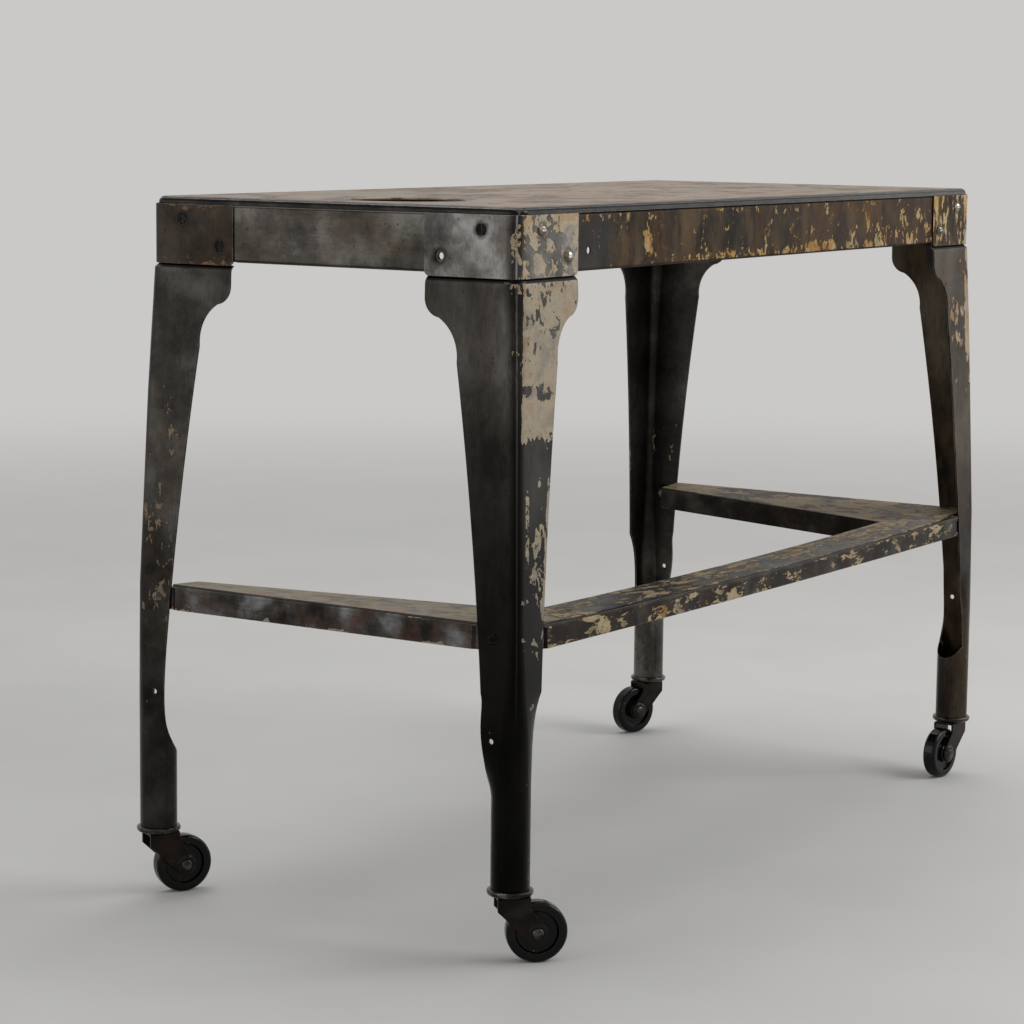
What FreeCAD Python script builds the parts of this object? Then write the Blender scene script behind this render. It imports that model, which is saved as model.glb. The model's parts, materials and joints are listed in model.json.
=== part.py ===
"""Pressed-steel typewriter table on four swivel casters, for FreeCAD 1.1 (millimetres).

A sheet-steel top with a rolled rim lies on four pressed apron channels. A bent plate wraps each
corner and is screwed through the aprons to the tongue of a pressed leg. Each leg is an angle
with a flared shoulder that tapers down to the knee and is rolled there into a round tube, which
holds the socket of a swivel caster. Three inverted channels tie the legs together: one under
each end and one along the front. The back is left open for the typist's knees.

Frame: +X along the table, +Z up, origin on the floor below the middle of the whole outline,
casters included. Front is -Y and the knee opening is on the back, +Y.
"""
import FreeCAD
import Part
import math
import os

V = FreeCAD.Vector
X_AXIS, Y_AXIS, Z_AXIS = V(1, 0, 0), V(0, 1, 0), V(0, 0, 1)
ORIGIN = V(0, 0, 0)

# ---------------------------------------------------------------- overall sizes
table_length = 922.0          # over the corner plates
table_width = 405.0           # over the corner plates
table_height = 660.0          # floor to the top's upper face

# ---------------------------------------------------------------- top sheet
top_gauge = 1.6
rim_drop = 6.5                # how far the rolled rim turns down onto the aprons
rim_roll = 5.5                # outer radius of the rolled edge
top_corner_radius = 12.0
end_setback = 4.5             # rim to the end plates' outer face
side_setback = 0.8            # rim to the long plates' outer face
cable_hole_diameter = 114.0
cable_hole_from_end = 105.0   # centre of the hole to the left end
cable_hole_offset = -12.0     # centre of the hole from the table's centreline
pilot_hole_diameter = 6.0
pilot_hole_from_end = 79.0
pilot_hole_offset = -120.0

# ---------------------------------------------------------------- aprons
apron_gauge = 1.5
apron_depth = 51.5
apron_flange = 22.0           # upper flange, turned in under the top
apron_lip = 12.0              # lower lip, turned in between the legs
apron_bend = 3.0              # outer bend radius
apron_end_gap = 16.0          # end of a web to the plate corner
lip_end_gap = 99.0            # end of a lower lip to the plate corner
spare_hole_diameter = 6.6
spare_hole_from_corner = 117.0
spare_hole_below_top = 33.5

# ---------------------------------------------------------------- corner plates
plate_gauge = 1.5
plate_height = 54.5
plate_reach = 97.0            # width of each face, from the outer corner
corner_radius = 14.0          # outside, in plan
plate_corner_round = 5.0      # free lower corners

# ---------------------------------------------------------------- corner screws and nuts
upper_screw_from_corner, upper_screw_below_top = 38.0, 13.0
lower_screw_from_corner, lower_screw_below_top = 81.0, 37.0
screw_diameter = 6.0
screw_hole_diameter = 6.6
screw_length = 12.0           # below the face that the head bears on
dome_head_diameter, dome_head_height = 11.0, 3.6
flat_head_diameter, flat_head_height = 10.2, 1.5
head_well_diameter = 11.2     # hole in the end faces of the plate, round a flat head
slot_width, slot_depth = 1.3, 1.0
nut_width, nut_height = 10.0, 4.5

# ---------------------------------------------------------------- legs
leg_gauge = 2.0
tongue_top_below_top = 9.0    # top of the hidden tongue, below the apron's top
shoulder_reach = 95.0
tongue_setback = 5.0          # end of the tongue, in from the shoulder's end
shoulder_proud = 1.5          # shoulder's face outside the corner plate's
joggle_height = 7.0           # from the plate's lower edge down to the full shoulder
knee_drop = 45.0              # from the ankle down to where the splayed leg turns upright
knee_splay = 14.0             # leg's outer face at the knee, outside the corner plate
waist_height, waist_radius = 480.0, 10.5
shank_height, shank_radius = 300.0, 9.0
ankle_height, ankle_radius = 240.0, 13.8
ankle_reach = 25.8            # flange edges at the ankle, from the plate corner
tube_diameter = 35.0
seam_height = 149.0           # below this the leg is a closed tube
scoop_depth = 15.0            # rounded opening in the tube's rim, below the seam
scoop_half_width = 16.9
scoop_turn = 15.0             # its direction, in degrees from along the table towards across
shank_hole_diameter = 5.0
shank_hole_from_corner, shank_hole_height = 13.8, 199.0

# Between ankle and seam the flanges curl inward. Each row is its share of the way down, then for
# the flange on the table's end its reach as a share of ankle_reach and its curl in tube radii,
# then both for the flange on the long side.
FLAT = None
ankle_rows = (
    (0.0, 1.0, FLAT, 1.0, FLAT),
    (0.198, 0.961, FLAT, 0.814, 3.43),
    (0.440, 0.938, FLAT, 0.640, 1.486),
    (0.659, 0.899, 3.43, 0.523, 1.143),
    (0.857, 0.969, 1.371, 0.496, 1.017),
)

# Free edge of a flange. Below the shoulder each point is a share of shoulder_reach and its share
# of the way up from ankle to shoulder; on the shoulder, a share of shoulder_reach and of
# shoulder_depth down from the joggle.
shoulder_depth = 43.0
edge_middle, edge_waist = (0.445, 0.46), (0.63, 0.81)
hollow_middle, hollow_end = (0.685, 1.0), (0.842, 0.663)
round_middle, round_end = (0.958, 0.523), (1.0, 0.256)

# ---------------------------------------------------------------- rails
rail_gauge = 1.5
rail_bend = 3.0               # outer bend radius
rail_end_gap = 33.0           # end of a rail's outer face to the plate corner
tab_reach = 6.0               # end of a rail's tab to the plate corner
joggle_length = 4.0           # where a rail's face steps in behind the leg
end_rail_top, end_rail_depth = 302.0, 24.0
end_rail_width_back, end_rail_width_front = 41.0, 121.0
end_rail_fall = 0.06          # fall of the top towards the middle, per unit of width
front_rail_drop, front_rail_depth = 3.5, 22.0         # its top below the end rails', its depth
front_rail_width = 62.0
front_rail_fall = 0.03
front_rail_top_sag, front_rail_foot_sag = 5.0, 2.0    # hollow at mid-span, top and foot
mitre_run = 0.58              # seam between two rails: run along the front per unit of width
front_strip = 7.0             # width of the front rail's top that runs on to the leg
seam_gap = 0.3
rail_screw_from_corner, rail_screw_below_top = 15.0, 13.0

# ---------------------------------------------------------------- casters
wheel_diameter = 55.0
wheel_tread = 15.0
wheel_rim_depth = 8.0         # radial depth of the rim
wheel_dish = 3.2              # how far the web lies below the rim's side
wheel_edge_radius = 3.5
hub_diameter, hub_width = 20.0, 19.0
hub_chamfer = 2.0
hub_flare, rim_flare = 0.8, 1.5          # how far the hub's and the rim's walls lean at the web
caster_trail = 23.5           # stem axis to axle
axle_diameter = 6.0
axle_head_diameter, axle_head_height = 10.5, 2.4
fork_gauge = 2.0
fork_side_gap = 0.5           # hub to cheek
crown_gauge = 2.5
crown_top_height = 60.5
crown_back, crown_front = 12.5, 17.0     # from the stem axis
crown_bend = 2.5
cheek_back_height, cheek_front_height = 48.0, 50.0
cheek_eye_radius = 10.0
stem_diameter = 9.5
stem_collar_diameter, stem_collar_height = 17.0, 1.6
stem_head_diameter, stem_head_height = 13.0, 2.0
stem_rivet_height = 1.4
swivel_gap = 0.3              # running gap between turning and fixed faces
ring_diameter, ring_height = 41.5, 4.0
socket_length = 44.0
fit_gap = 0.05                # radial clearance of a shaft or sleeve in its hole

overcut = 2.0                 # how far a cutter runs past what it cuts

# Name, side of the table in X and in Y, and the caster's swivel in degrees.
CORNERS = (
    ("front_left", -1, -1, -48.0),
    ("front_right", 1, -1, 176.0),
    ("back_right", 1, 1, 162.0),
    ("back_left", -1, 1, -30.0),
)
LOST_SCREW = ("front_left", "x", "lower")     # this screw and its nut are missing

# ---------------------------------------------------------------- sizes that follow
half_length, half_width = table_length / 2, table_width / 2
apron_top = table_height - rim_drop
apron_bottom = apron_top - apron_depth
plate_bottom = apron_top - plate_height
plate_inner = plate_gauge + apron_gauge       # inner face of an apron web
shoulder_height = plate_bottom - joggle_height
tongue_reach = shoulder_reach - tongue_setback
knee_height = ankle_height - knee_drop
front_rail_top = end_rail_top - front_rail_drop
rail_screw_height = end_rail_top - rail_screw_below_top
tube_radius = tube_diameter / 2
tube_centre = tube_radius - knee_splay        # in from the plate corner, in X and in Y
axle_height = wheel_diameter / 2
socket_bottom = crown_top_height + stem_collar_height + swivel_gap
tube_bottom = socket_bottom + ring_height
splay_slope = (knee_splay - shoulder_proud) / (shoulder_height - knee_height)


def leg_face(height):
    """Outer face of a leg's flange at a height, measured in from the corner plate's face."""
    return -shoulder_proud - splay_slope * (shoulder_height - max(height, knee_height))


def leg_radius(height):
    """Outer radius of a leg's corner between the ankle and the knee, and the tube's below."""
    share = (height - knee_height) / (ankle_height - knee_height)
    return tube_radius + (ankle_radius - tube_radius) * max(share, 0.0)


# ---------------------------------------------------------------- helpers
def line(a, b):
    return Part.LineSegment(a, b).toShape()


def arc(a, mid, b):
    return Part.Arc(a, mid, b).toShape()


def polygon_face(points):
    return Part.Face(Part.makePolygon(points + [points[0]]))


def box(low, high):
    size = high.sub(low)
    return Part.makeBox(size.x, size.y, size.z, low)


def cylinder(radius, start, axis, length):
    return Part.makeCylinder(radius, length, start, axis)


def turned(profile, base, axis):
    """A solid of revolution from (radius, height) points, standing at base along Z, then laid
    along axis."""
    points = [V(r, 0, h) for r, h in profile]
    solid = polygon_face(points).revolve(ORIGIN, Z_AXIS, 360)
    solid.Placement = FreeCAD.Placement(base, FreeCAD.Rotation(Z_AXIS, axis))
    return solid


def rounded_wire(corners, place):
    """A closed wire through (u, v, radius) corners, each rounded by its radius. place turns a
    u and a v into a point in space."""
    count = len(corners)
    starts, middles, ends = [], [], []
    for i, (u, v, radius) in enumerate(corners):
        before, after = corners[i - 1], corners[(i + 1) % count]
        back = V(before[0] - u, before[1] - v, 0).normalize()
        onward = V(after[0] - u, after[1] - v, 0).normalize()
        half = back.getAngle(onward) / 2
        corner = V(u, v, 0)
        starts.append(corner + back * (radius / math.tan(half)))
        ends.append(corner + onward * (radius / math.tan(half)))
        middles.append(corner + (back + onward).normalize() * (radius / math.sin(half) - radius))
    edges = []
    for i, (_, _, radius) in enumerate(corners):
        if radius > 0:
            edges.append(arc(*(place(p.x, p.y) for p in (starts[i], middles[i], ends[i]))))
        here, there = ends[i], starts[(i + 1) % count]
        edges.append(line(place(here.x, here.y), place(there.x, there.y)))
    return Part.Wire(edges)


def placed_at_corner(shape, side_x, side_y):
    """Move a shape from the corner frame, whose +X and +Y lead into the table, to its corner."""
    moved = shape.copy()
    if side_x > 0:
        moved = moved.mirror(ORIGIN, X_AXIS)
    if side_y > 0:
        moved = moved.mirror(ORIGIN, Y_AXIS)
    moved.translate(V(side_x * half_length, side_y * half_width, 0))
    return moved


def corner_point(side_x, side_y, in_x, in_y, height):
    """A point given by its distances in from the plate corner."""
    return V(side_x * (half_length - in_x), side_y * (half_width - in_y), height)


def filleted(solid, radius, wanted):
    edges = [edge for edge in solid.Edges if wanted(edge)]
    return solid.makeFillet(radius, edges)


def is_vertical(edge):
    a, b = edge.Vertexes[0].Point, edge.Vertexes[-1].Point
    return abs(a.x - b.x) < 1e-6 and abs(a.y - b.y) < 1e-6 and abs(a.z - b.z) > 1e-6


def export(shape, name):
    clean = shape.removeSplitter() if shape.ShapeType != "Compound" else shape
    clean.exportStep(os.path.join("parts", name + ".step"))


# ---------------------------------------------------------------- top sheet
def rounded_slab(length, width, corner, bottom, top, roll):
    """A slab with rounded corners in plan and a rolled upper edge."""
    slab = box(V(-length / 2, -width / 2, bottom), V(length / 2, width / 2, top))
    slab = filleted(slab, corner, is_vertical)
    return filleted(slab, roll, lambda edge: edge.BoundBox.ZMin > top - 1e-6)


def top_sheet():
    length = table_length - 2 * end_setback
    width = table_width - 2 * side_setback
    outer = rounded_slab(length, width, top_corner_radius, apron_top, table_height, rim_roll)
    inner = rounded_slab(
        length - 2 * top_gauge, width - 2 * top_gauge, top_corner_radius - top_gauge,
        apron_top - overcut, table_height - top_gauge, rim_roll - top_gauge,
    )
    sheet = outer.cut(inner)
    for diameter, from_end, offset in (
        (cable_hole_diameter, cable_hole_from_end, cable_hole_offset),
        (pilot_hole_diameter, pilot_hole_from_end, pilot_hole_offset),
    ):
        start = V(-half_length + from_end, offset, apron_top)
        sheet = sheet.cut(cylinder(diameter / 2, start, Z_AXIS, 2 * rim_drop))
    return sheet


# ---------------------------------------------------------------- aprons
def apron(span, face_distance, turn):
    """One apron, its web facing -Y at face_distance from the centre, then turned about Z."""
    web_face = -(face_distance - plate_gauge)
    half_web = span / 2 - apron_end_gap
    top, bottom = apron_top, apron_bottom
    outline = polygon_face([
        V(-half_web, web_face, bottom), V(-half_web, web_face + apron_lip, bottom),
        V(-half_web, web_face + apron_lip, bottom + apron_gauge),
        V(-half_web, web_face + apron_gauge, bottom + apron_gauge),
        V(-half_web, web_face + apron_gauge, top - apron_gauge),
        V(-half_web, web_face + apron_flange, top - apron_gauge),
        V(-half_web, web_face + apron_flange, top), V(-half_web, web_face, top),
    ])
    channel = outline.extrude(V(2 * half_web, 0, 0))
    channel = filleted(channel, apron_bend - apron_gauge, lambda e: along_x_at(
        e, web_face + apron_gauge, (bottom + apron_gauge, top - apron_gauge)))
    channel = filleted(channel, apron_bend, lambda e: along_x_at(e, web_face, (bottom, top)))
    lip_top = bottom + apron_bend
    for side in (-1, 1):
        channel = channel.cut(flange_mitre(side, span, face_distance))
        ends = sorted((side * (half_web + overcut), side * (span / 2 - lip_end_gap)))
        notch = box(V(ends[0], web_face + apron_gauge, bottom - overcut),
                    V(ends[1], web_face + apron_lip + overcut, lip_top))
        channel = channel.cut(notch)
    channel.rotate(ORIGIN, Z_AXIS, turn)
    return channel


def flange_mitre(side, span, face_distance):
    """What a top flange leaves free at one end for its neighbour's, along a 45-degree seam."""
    far = 3 * apron_flange
    seam = span / 2 - seam_gap
    corners = [(seam, 0.0), (seam - far, far), (seam + far, far), (seam + far, 0.0)]
    outline = polygon_face([V(side * x, d - face_distance, apron_bottom - overcut)
                            for x, d in corners])
    return outline.extrude(V(0, 0, apron_depth + 2 * overcut))


def along_x_at(edge, y, heights):
    low, high = edge.BoundBox.YMin, edge.BoundBox.YMax
    on_line = abs(low - y) < 1e-4 and abs(high - y) < 1e-4 and edge.BoundBox.XLength > apron_depth
    return on_line and any(abs(edge.BoundBox.ZMin - h) < 1e-4 and edge.BoundBox.ZLength < 1e-4
                           for h in heights)


# ---------------------------------------------------------------- corner sections
def angle_wire(face, radius, reach, gauge, height):
    """Closed section of a bent angle at a height. Its outer faces lie at X = face and Y = face,
    and its two flanges end at reach."""
    bend = face + radius
    diagonal = math.sqrt(0.5)
    outer_mid = bend - radius * diagonal
    inner_mid = bend - (radius - gauge) * diagonal
    inner = face + gauge

    def at(x, y):
        return V(x, y, height)

    return Part.Wire([
        line(at(face, reach), at(face, bend)),
        arc(at(face, bend), at(outer_mid, outer_mid), at(bend, face)),
        line(at(bend, face), at(reach, face)),
        line(at(reach, face), at(reach, inner)),
        line(at(reach, inner), at(bend, inner)),
        arc(at(bend, inner), at(inner_mid, inner_mid), at(inner, bend)),
        line(at(inner, bend), at(inner, reach)),
        line(at(inner, reach), at(face, reach)),
    ])


def curled_wire(height, end_reach, end_curl, side_reach, side_curl):
    """Closed section of a leg whose flanges curl inward. Each flange reaches so far along the
    sheet from the plate corner, and bends at its curl radius or stays flat."""
    face, radius = leg_face(height), leg_radius(height)
    centre, inner = face + radius, radius - leg_gauge

    def flange(reach, curl, share, offset):
        """Depth inward and distance along of a point on a flange, offset in from its outside."""
        run = (reach - centre) * share
        if curl is FLAT:
            return face + offset, centre + run
        turn = run / curl
        return (face + curl - (curl - offset) * math.cos(turn),
                centre + (curl - offset) * math.sin(turn))

    def on_end(share, offset):
        depth, along = flange(end_reach, end_curl, share, offset)
        return V(depth, along, height)

    def on_side(share, offset):
        depth, along = flange(side_reach, side_curl, share, offset)
        return V(along, depth, height)

    def edge(point, curl, start, end, offset):
        a, b = point(start, offset), point(end, offset)
        return line(a, b) if curl is FLAT else arc(a, point(0.5, offset), b)

    def bend_middle(r):
        depth = centre - r * math.sqrt(0.5)
        return V(depth, depth, height)

    return Part.Wire([
        edge(on_end, end_curl, 1.0, 0.0, 0.0),
        arc(on_end(0.0, 0.0), bend_middle(radius), on_side(0.0, 0.0)),
        edge(on_side, side_curl, 0.0, 1.0, 0.0),
        line(on_side(1.0, 0.0), on_side(1.0, leg_gauge)),
        edge(on_side, side_curl, 1.0, 0.0, leg_gauge),
        arc(on_side(0.0, leg_gauge), bend_middle(inner), on_end(0.0, leg_gauge)),
        edge(on_end, end_curl, 0.0, 1.0, leg_gauge),
        line(on_end(1.0, leg_gauge), on_end(1.0, 0.0)),
    ])


def corner_plate():
    """The bent plate round a corner, in the corner frame."""
    bottom_wire = angle_wire(0.0, corner_radius, plate_reach, plate_gauge, plate_bottom)
    plate = Part.Face(bottom_wire).extrude(V(0, 0, plate_height))
    return filleted(plate, plate_corner_round, lambda edge: is_free_corner(edge))


def is_free_corner(edge):
    low = abs(edge.BoundBox.ZMax - plate_bottom) < 1e-6
    short = edge.Length < plate_gauge + 1e-6
    at_end = max(edge.BoundBox.XMax, edge.BoundBox.YMax) > plate_reach - 1e-6
    return low and short and at_end


# ---------------------------------------------------------------- legs
def leg_side_view():
    """What the leg's flange fills in side view, in the YZ plane of the corner frame."""
    tongue_top = apron_top - tongue_top_below_top
    outside = -2 * tube_radius

    def on_taper(share_out, share_up):
        rise = (shoulder_height - ankle_height) * share_up
        return V(0, shoulder_reach * share_out, ankle_height + rise)

    def on_shoulder(share_out, share_down):
        return V(0, shoulder_reach * share_out, shoulder_height - shoulder_depth * share_down)

    start = V(0, ankle_reach, ankle_height)
    waist, hollow, rounded = on_taper(*edge_waist), on_shoulder(*hollow_end), on_shoulder(*round_end)
    shoulder_top = V(0, shoulder_reach, plate_bottom)
    tongue_foot = V(0, tongue_reach, plate_bottom)
    tongue_corner = V(0, tongue_reach, tongue_top)
    return Part.Face(Part.Wire([
        line(V(0, outside, ankle_height), start),
        arc(start, on_taper(*edge_middle), waist),
        arc(waist, on_shoulder(*hollow_middle), hollow),
        arc(hollow, on_shoulder(*round_middle), rounded),
        line(rounded, shoulder_top),
        line(shoulder_top, tongue_foot),
        line(tongue_foot, tongue_corner),
        line(tongue_corner, V(0, outside, tongue_top)),
        line(V(0, outside, tongue_top), V(0, outside, ankle_height)),
    ]))


def upper_leg():
    """Tongue, joggle, shoulder and tapering angle, in the corner frame."""
    reach = shoulder_reach + tube_radius
    tongue_radius = corner_radius - plate_inner
    shoulder_radius = corner_radius + shoulder_proud
    sections = [
        (apron_top, plate_inner, tongue_radius),
        (plate_bottom, plate_inner, tongue_radius),
        (plate_bottom - 0.25 * joggle_height, 0.3 * plate_inner, corner_radius),
        (plate_bottom - 0.55 * joggle_height, -0.6 * shoulder_proud, corner_radius),
        (shoulder_height, -shoulder_proud, shoulder_radius),
        (waist_height, leg_face(waist_height), waist_radius),
        (shank_height, leg_face(shank_height), shank_radius),
        (ankle_height, leg_face(ankle_height), ankle_radius),
    ]
    wires = [angle_wire(face, radius, reach, leg_gauge, z) for z, face, radius in sections]
    angle = Part.makeLoft(wires, True, True)
    side_view = leg_side_view()
    side_view.translate(V(-reach, 0, 0))
    end_flange_room = side_view.extrude(V(3 * reach, 0, 0))
    side_flange_room = end_flange_room.mirror(ORIGIN, V(1, -1, 0))
    return angle.common(end_flange_room).common(side_flange_room)


def ankle():
    """The curl from angle to tube. At the seam its edges meet those of the tube's scoop."""
    half_opening = math.asin(scoop_half_width / tube_radius)
    turn = math.radians(scoop_turn)
    end_turn = math.pi - turn - half_opening
    side_turn = math.pi / 2 + turn - half_opening
    last = (seam_height, tube_centre + tube_radius * end_turn, tube_radius,
            tube_centre + tube_radius * side_turn, tube_radius)
    wires = []
    for down, end_reach, end_curl, side_reach, side_curl in ankle_rows:
        height = ankle_height - down * (ankle_height - seam_height)
        wires.append(curled_wire(height, end_reach * ankle_reach, curl_radius(end_curl),
                                 side_reach * ankle_reach, curl_radius(side_curl)))
    wires.append(curled_wire(*last))
    return Part.makeLoft(wires, True, False)


def curl_radius(tube_radii):
    return FLAT if tube_radii is FLAT else tube_radii * tube_radius


def leg_tube():
    """The closed tube, with the rounded scoop in its rim that faces into the table."""
    axis_point = V(tube_centre, tube_centre, tube_bottom)
    height = seam_height - tube_bottom
    tube = cylinder(tube_radius, axis_point, Z_AXIS, height)
    tube = tube.cut(cylinder(tube_radius - leg_gauge, axis_point, Z_AXIS, height))
    scoop_radius = (scoop_half_width ** 2 + scoop_depth ** 2) / (2 * scoop_depth)
    turn = math.radians(scoop_turn)
    start = V(tube_centre, tube_centre, seam_height - scoop_depth + scoop_radius)
    return tube.cut(cylinder(scoop_radius, start, V(math.cos(turn), math.sin(turn), 0),
                             tube_diameter))


def leg():
    """One leg in the corner frame, from the tongue behind the apron down to the tube."""
    return upper_leg().fuse([ankle(), leg_tube()])


# ---------------------------------------------------------------- rails
# A rail is drawn along Y, with X running in from the leg's outer face at the rail's top.
def rail_lean(height, rail_top):
    """Where a leg's outer face lies at a height, in from where it lies at the rail's top."""
    return leg_face(height) - leg_face(rail_top)


def rail_profile(along, width, fall, rail_top, top, foot):
    """Section of an inverted channel. Its outer flange leans with the legs."""
    inner_top = top - fall * width
    inner_bend = rail_bend - rail_gauge
    depth = top - foot
    corners = [
        (rail_lean(foot, rail_top), foot, 0),
        (rail_lean(top, rail_top), top, rail_bend),
        (width, inner_top, rail_bend),
        (width, inner_top - depth, 0),
        (width - rail_gauge, inner_top - depth, 0),
        (width - rail_gauge, inner_top - rail_gauge, inner_bend),
        (rail_lean(top, rail_top) + rail_gauge, top - rail_gauge * (1 + fall), inner_bend),
        (rail_lean(foot, rail_top) + rail_gauge, foot, 0),
    ]
    return rounded_wire(corners, lambda u, v: V(u, along, v))


def rail_tab(body_end, tab_end, top, foot):
    """The tongue at a rail's end, stepped in behind the leg."""
    side = 1.0 if tab_end > body_end else -1.0
    step_start = body_end - side * joggle_length
    root = step_start - side * 3 * joggle_length
    inside = leg_gauge + rail_gauge
    plan = [
        (0.0, root), (0.0, step_start), (leg_gauge, body_end), (leg_gauge, tab_end),
        (inside, tab_end), (inside, body_end - side * rail_gauge / 3),
        (rail_gauge, step_start - side * rail_gauge / 3), (rail_gauge, root),
    ]
    height = top - rail_bend - foot
    lean = rail_lean(foot, top)
    rise = rail_lean(foot + height, top) - lean
    face = polygon_face([V(x + lean, y, foot) for x, y in plan])
    return face.extrude(V(rise, 0, height))


def with_tabs(body, half_span, top, foot):
    """Cut a rail's outer flange back at each end and add the tab that lies behind the leg."""
    body_end, tab_end = half_span - rail_end_gap, half_span - tab_reach
    tabs = []
    for side in (-1, 1):
        step = sorted((side * (body_end - joggle_length), side * half_span))
        body = body.cut(box(V(-rail_gauge, step[0], foot - rail_bend),
                            V(rail_gauge, step[1], top - rail_bend)))
        tabs.append(rail_tab(side * body_end, side * tab_end, top, foot))
    return body.fuse(tabs)


def rail_outer(half_span, top):
    """Distance from the table's centre to the leg's outer face at a rail's top."""
    return half_span - leg_face(top)


def mitre_corners():
    """The seam between end rail and front rail at the right: its inner and its outer point."""
    body_end = half_width - rail_end_gap
    taper = (end_rail_width_front - end_rail_width_back) / (2 * body_end)
    front = rail_outer(half_width, front_rail_top)
    inner_y, outer_y = -front + front_rail_width, -front + front_strip
    width_there = end_rail_width_front + taper * (-body_end - inner_y)
    inner_x = rail_outer(half_length, end_rail_top) - width_there
    return V(inner_x, inner_y, 0), V(inner_x + mitre_run * (inner_y - outer_y), outer_y, 0)


def plan_block(points, side_x):
    """A tall block over points in plan, given for the right end of the table."""
    low = V(0, 0, end_rail_top - 3 * end_rail_depth)
    outline = [V(side_x * p.x, p.y, 0) + low for p in points]
    return polygon_face(outline).extrude(V(0, 0, 6 * end_rail_depth))


def end_rail(side_x):
    """The rail under one end of the table. It widens from the knee side to the front, where its
    top runs on into the leg's corner and meets the front rail along a slanting seam."""
    top, foot = end_rail_top, end_rail_top - end_rail_depth
    body_end = half_width - rail_end_gap
    taper = (end_rail_width_front - end_rail_width_back) / (2 * body_end)
    inner, outer = mitre_corners()
    front_y = outer.y + seam_gap
    width_there = end_rail_width_front + taper * (-body_end - front_y)
    body = Part.makeLoft([
        rail_profile(front_y, width_there, end_rail_fall, top, top, foot),
        rail_profile(body_end, end_rail_width_back, end_rail_fall, top, top, foot),
    ], True, True)
    body = body.cut(box(V(-rail_bend, front_y - overcut, foot - overcut),
                        V(leg_gauge + rail_gauge, -body_end, top + overcut)))
    solid = with_tabs(body, half_width, top, foot)
    if side_x > 0:
        solid = solid.mirror(ORIGIN, X_AXIS)
    solid.translate(V(side_x * rail_outer(half_length, top), 0, 0))
    gap = V(seam_gap, 0, 0)
    away = V(-2 * end_rail_width_front, 0, 0)
    beyond = V(0, -front_rail_width, 0)
    return solid.cut(plan_block([inner + gap, outer + gap, outer + gap + beyond,
                                 outer + beyond + away, inner + away], side_x))


def front_rail():
    """The rail along the front, hollowed a little at mid-span and cut back at both seams."""
    top, foot = front_rail_top, front_rail_top - front_rail_depth
    body_end = half_length - rail_end_gap
    stations = ((-body_end, 0.0), (-body_end / 2, 0.75), (0.0, 1.0), (body_end / 2, 0.75),
                (body_end, 0.0))
    body = Part.makeLoft([
        rail_profile(along, front_rail_width, front_rail_fall, top,
                     top - front_rail_top_sag * share, foot - front_rail_foot_sag * share)
        for along, share in stations
    ], True, False)
    solid = with_tabs(body, half_length, top, foot)
    solid = solid.mirror(ORIGIN, V(1, -1, 0))
    solid.translate(V(0, -rail_outer(half_width, top), 0))
    inner, outer = mitre_corners()
    far = V(2 * end_rail_width_front, 0, 0)
    above = V(0, seam_gap, 0)
    for side_x in (-1, 1):
        solid = solid.cut(plan_block([inner + above, outer, outer + far, inner + above + far],
                                     side_x))
    return solid


# ---------------------------------------------------------------- screws and nuts
def screw(head_radius, head_height, bearing, inward, length, dome):
    """A slotted screw whose head bears on the point bearing and whose shank runs inward."""
    shank = screw_diameter / 2
    if dome:
        ball = (head_radius ** 2 + head_height ** 2) / (2 * head_height)
        head = Part.makeSphere(ball, V(0, 0, ball - head_height))
        head = head.common(cylinder(head_radius + overcut, V(0, 0, -head_height), Z_AXIS,
                                    head_height))
    else:
        head = cylinder(head_radius, V(0, 0, -head_height), Z_AXIS, head_height)
    slot = box(V(-head_radius - overcut, -slot_width / 2, -head_height - overcut),
               V(head_radius + overcut, slot_width / 2, -head_height + slot_depth))
    solid = head.cut(slot).fuse(cylinder(shank, ORIGIN, Z_AXIS, length))
    solid.Placement = FreeCAD.Placement(bearing, FreeCAD.Rotation(Z_AXIS, inward))
    return solid


def nut(bearing, inward):
    """A square nut that lies on the point bearing, round a screw that runs inward."""
    half = nut_width / 2
    body = box(V(-half, -half, 0), V(half, half, nut_height))
    body = body.cut(cylinder(screw_diameter / 2 + fit_gap, ORIGIN, Z_AXIS, nut_height))
    body.Placement = FreeCAD.Placement(bearing, FreeCAD.Rotation(Z_AXIS, inward))
    return body


SCREW_PLACES = (
    ("upper", upper_screw_from_corner, apron_top - upper_screw_below_top),
    ("lower", lower_screw_from_corner, apron_top - lower_screw_below_top),
)


def corner_screw_places(side_x, side_y):
    """Each corner screw's face, name, point on the plate's outer face and inward direction."""
    for name, along, height in SCREW_PLACES:
        yield "x", name, corner_point(side_x, side_y, 0.0, along, height), V(-side_x, 0, 0)
        yield "y", name, corner_point(side_x, side_y, along, 0.0, height), V(0, -side_y, 0)


def corner_fasteners(corner, side_x, side_y):
    """The screws and the nuts of one corner: sunk flat heads in the end face, domes in front."""
    screws, nuts = [], []
    for face, name, point, inward in corner_screw_places(side_x, side_y):
        if (corner, face, name) == LOST_SCREW:
            continue
        if face == "x":
            screws.append(screw(flat_head_diameter / 2, flat_head_height,
                                point + inward * plate_gauge, inward, screw_length, False))
        else:
            screws.append(screw(dome_head_diameter / 2, dome_head_height, point, inward,
                                screw_length + plate_gauge, True))
        nuts.append(nut(point + inward * (plate_inner + leg_gauge), inward))
    return Part.makeCompound(screws), Part.makeCompound(nuts)


def drilled_corner(solid, side_x, side_y, wells):
    """Drill a corner's screw holes through a part. A plate also gets wells round flat heads."""
    for face, _, point, inward in corner_screw_places(side_x, side_y):
        wide = wells and face == "x"
        radius = (head_well_diameter if wide else screw_hole_diameter) / 2
        start = point - inward * overcut
        through = plate_inner + leg_gauge + 2 * overcut
        solid = solid.cut(cylinder(radius, start, inward, through))
    return solid


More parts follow.
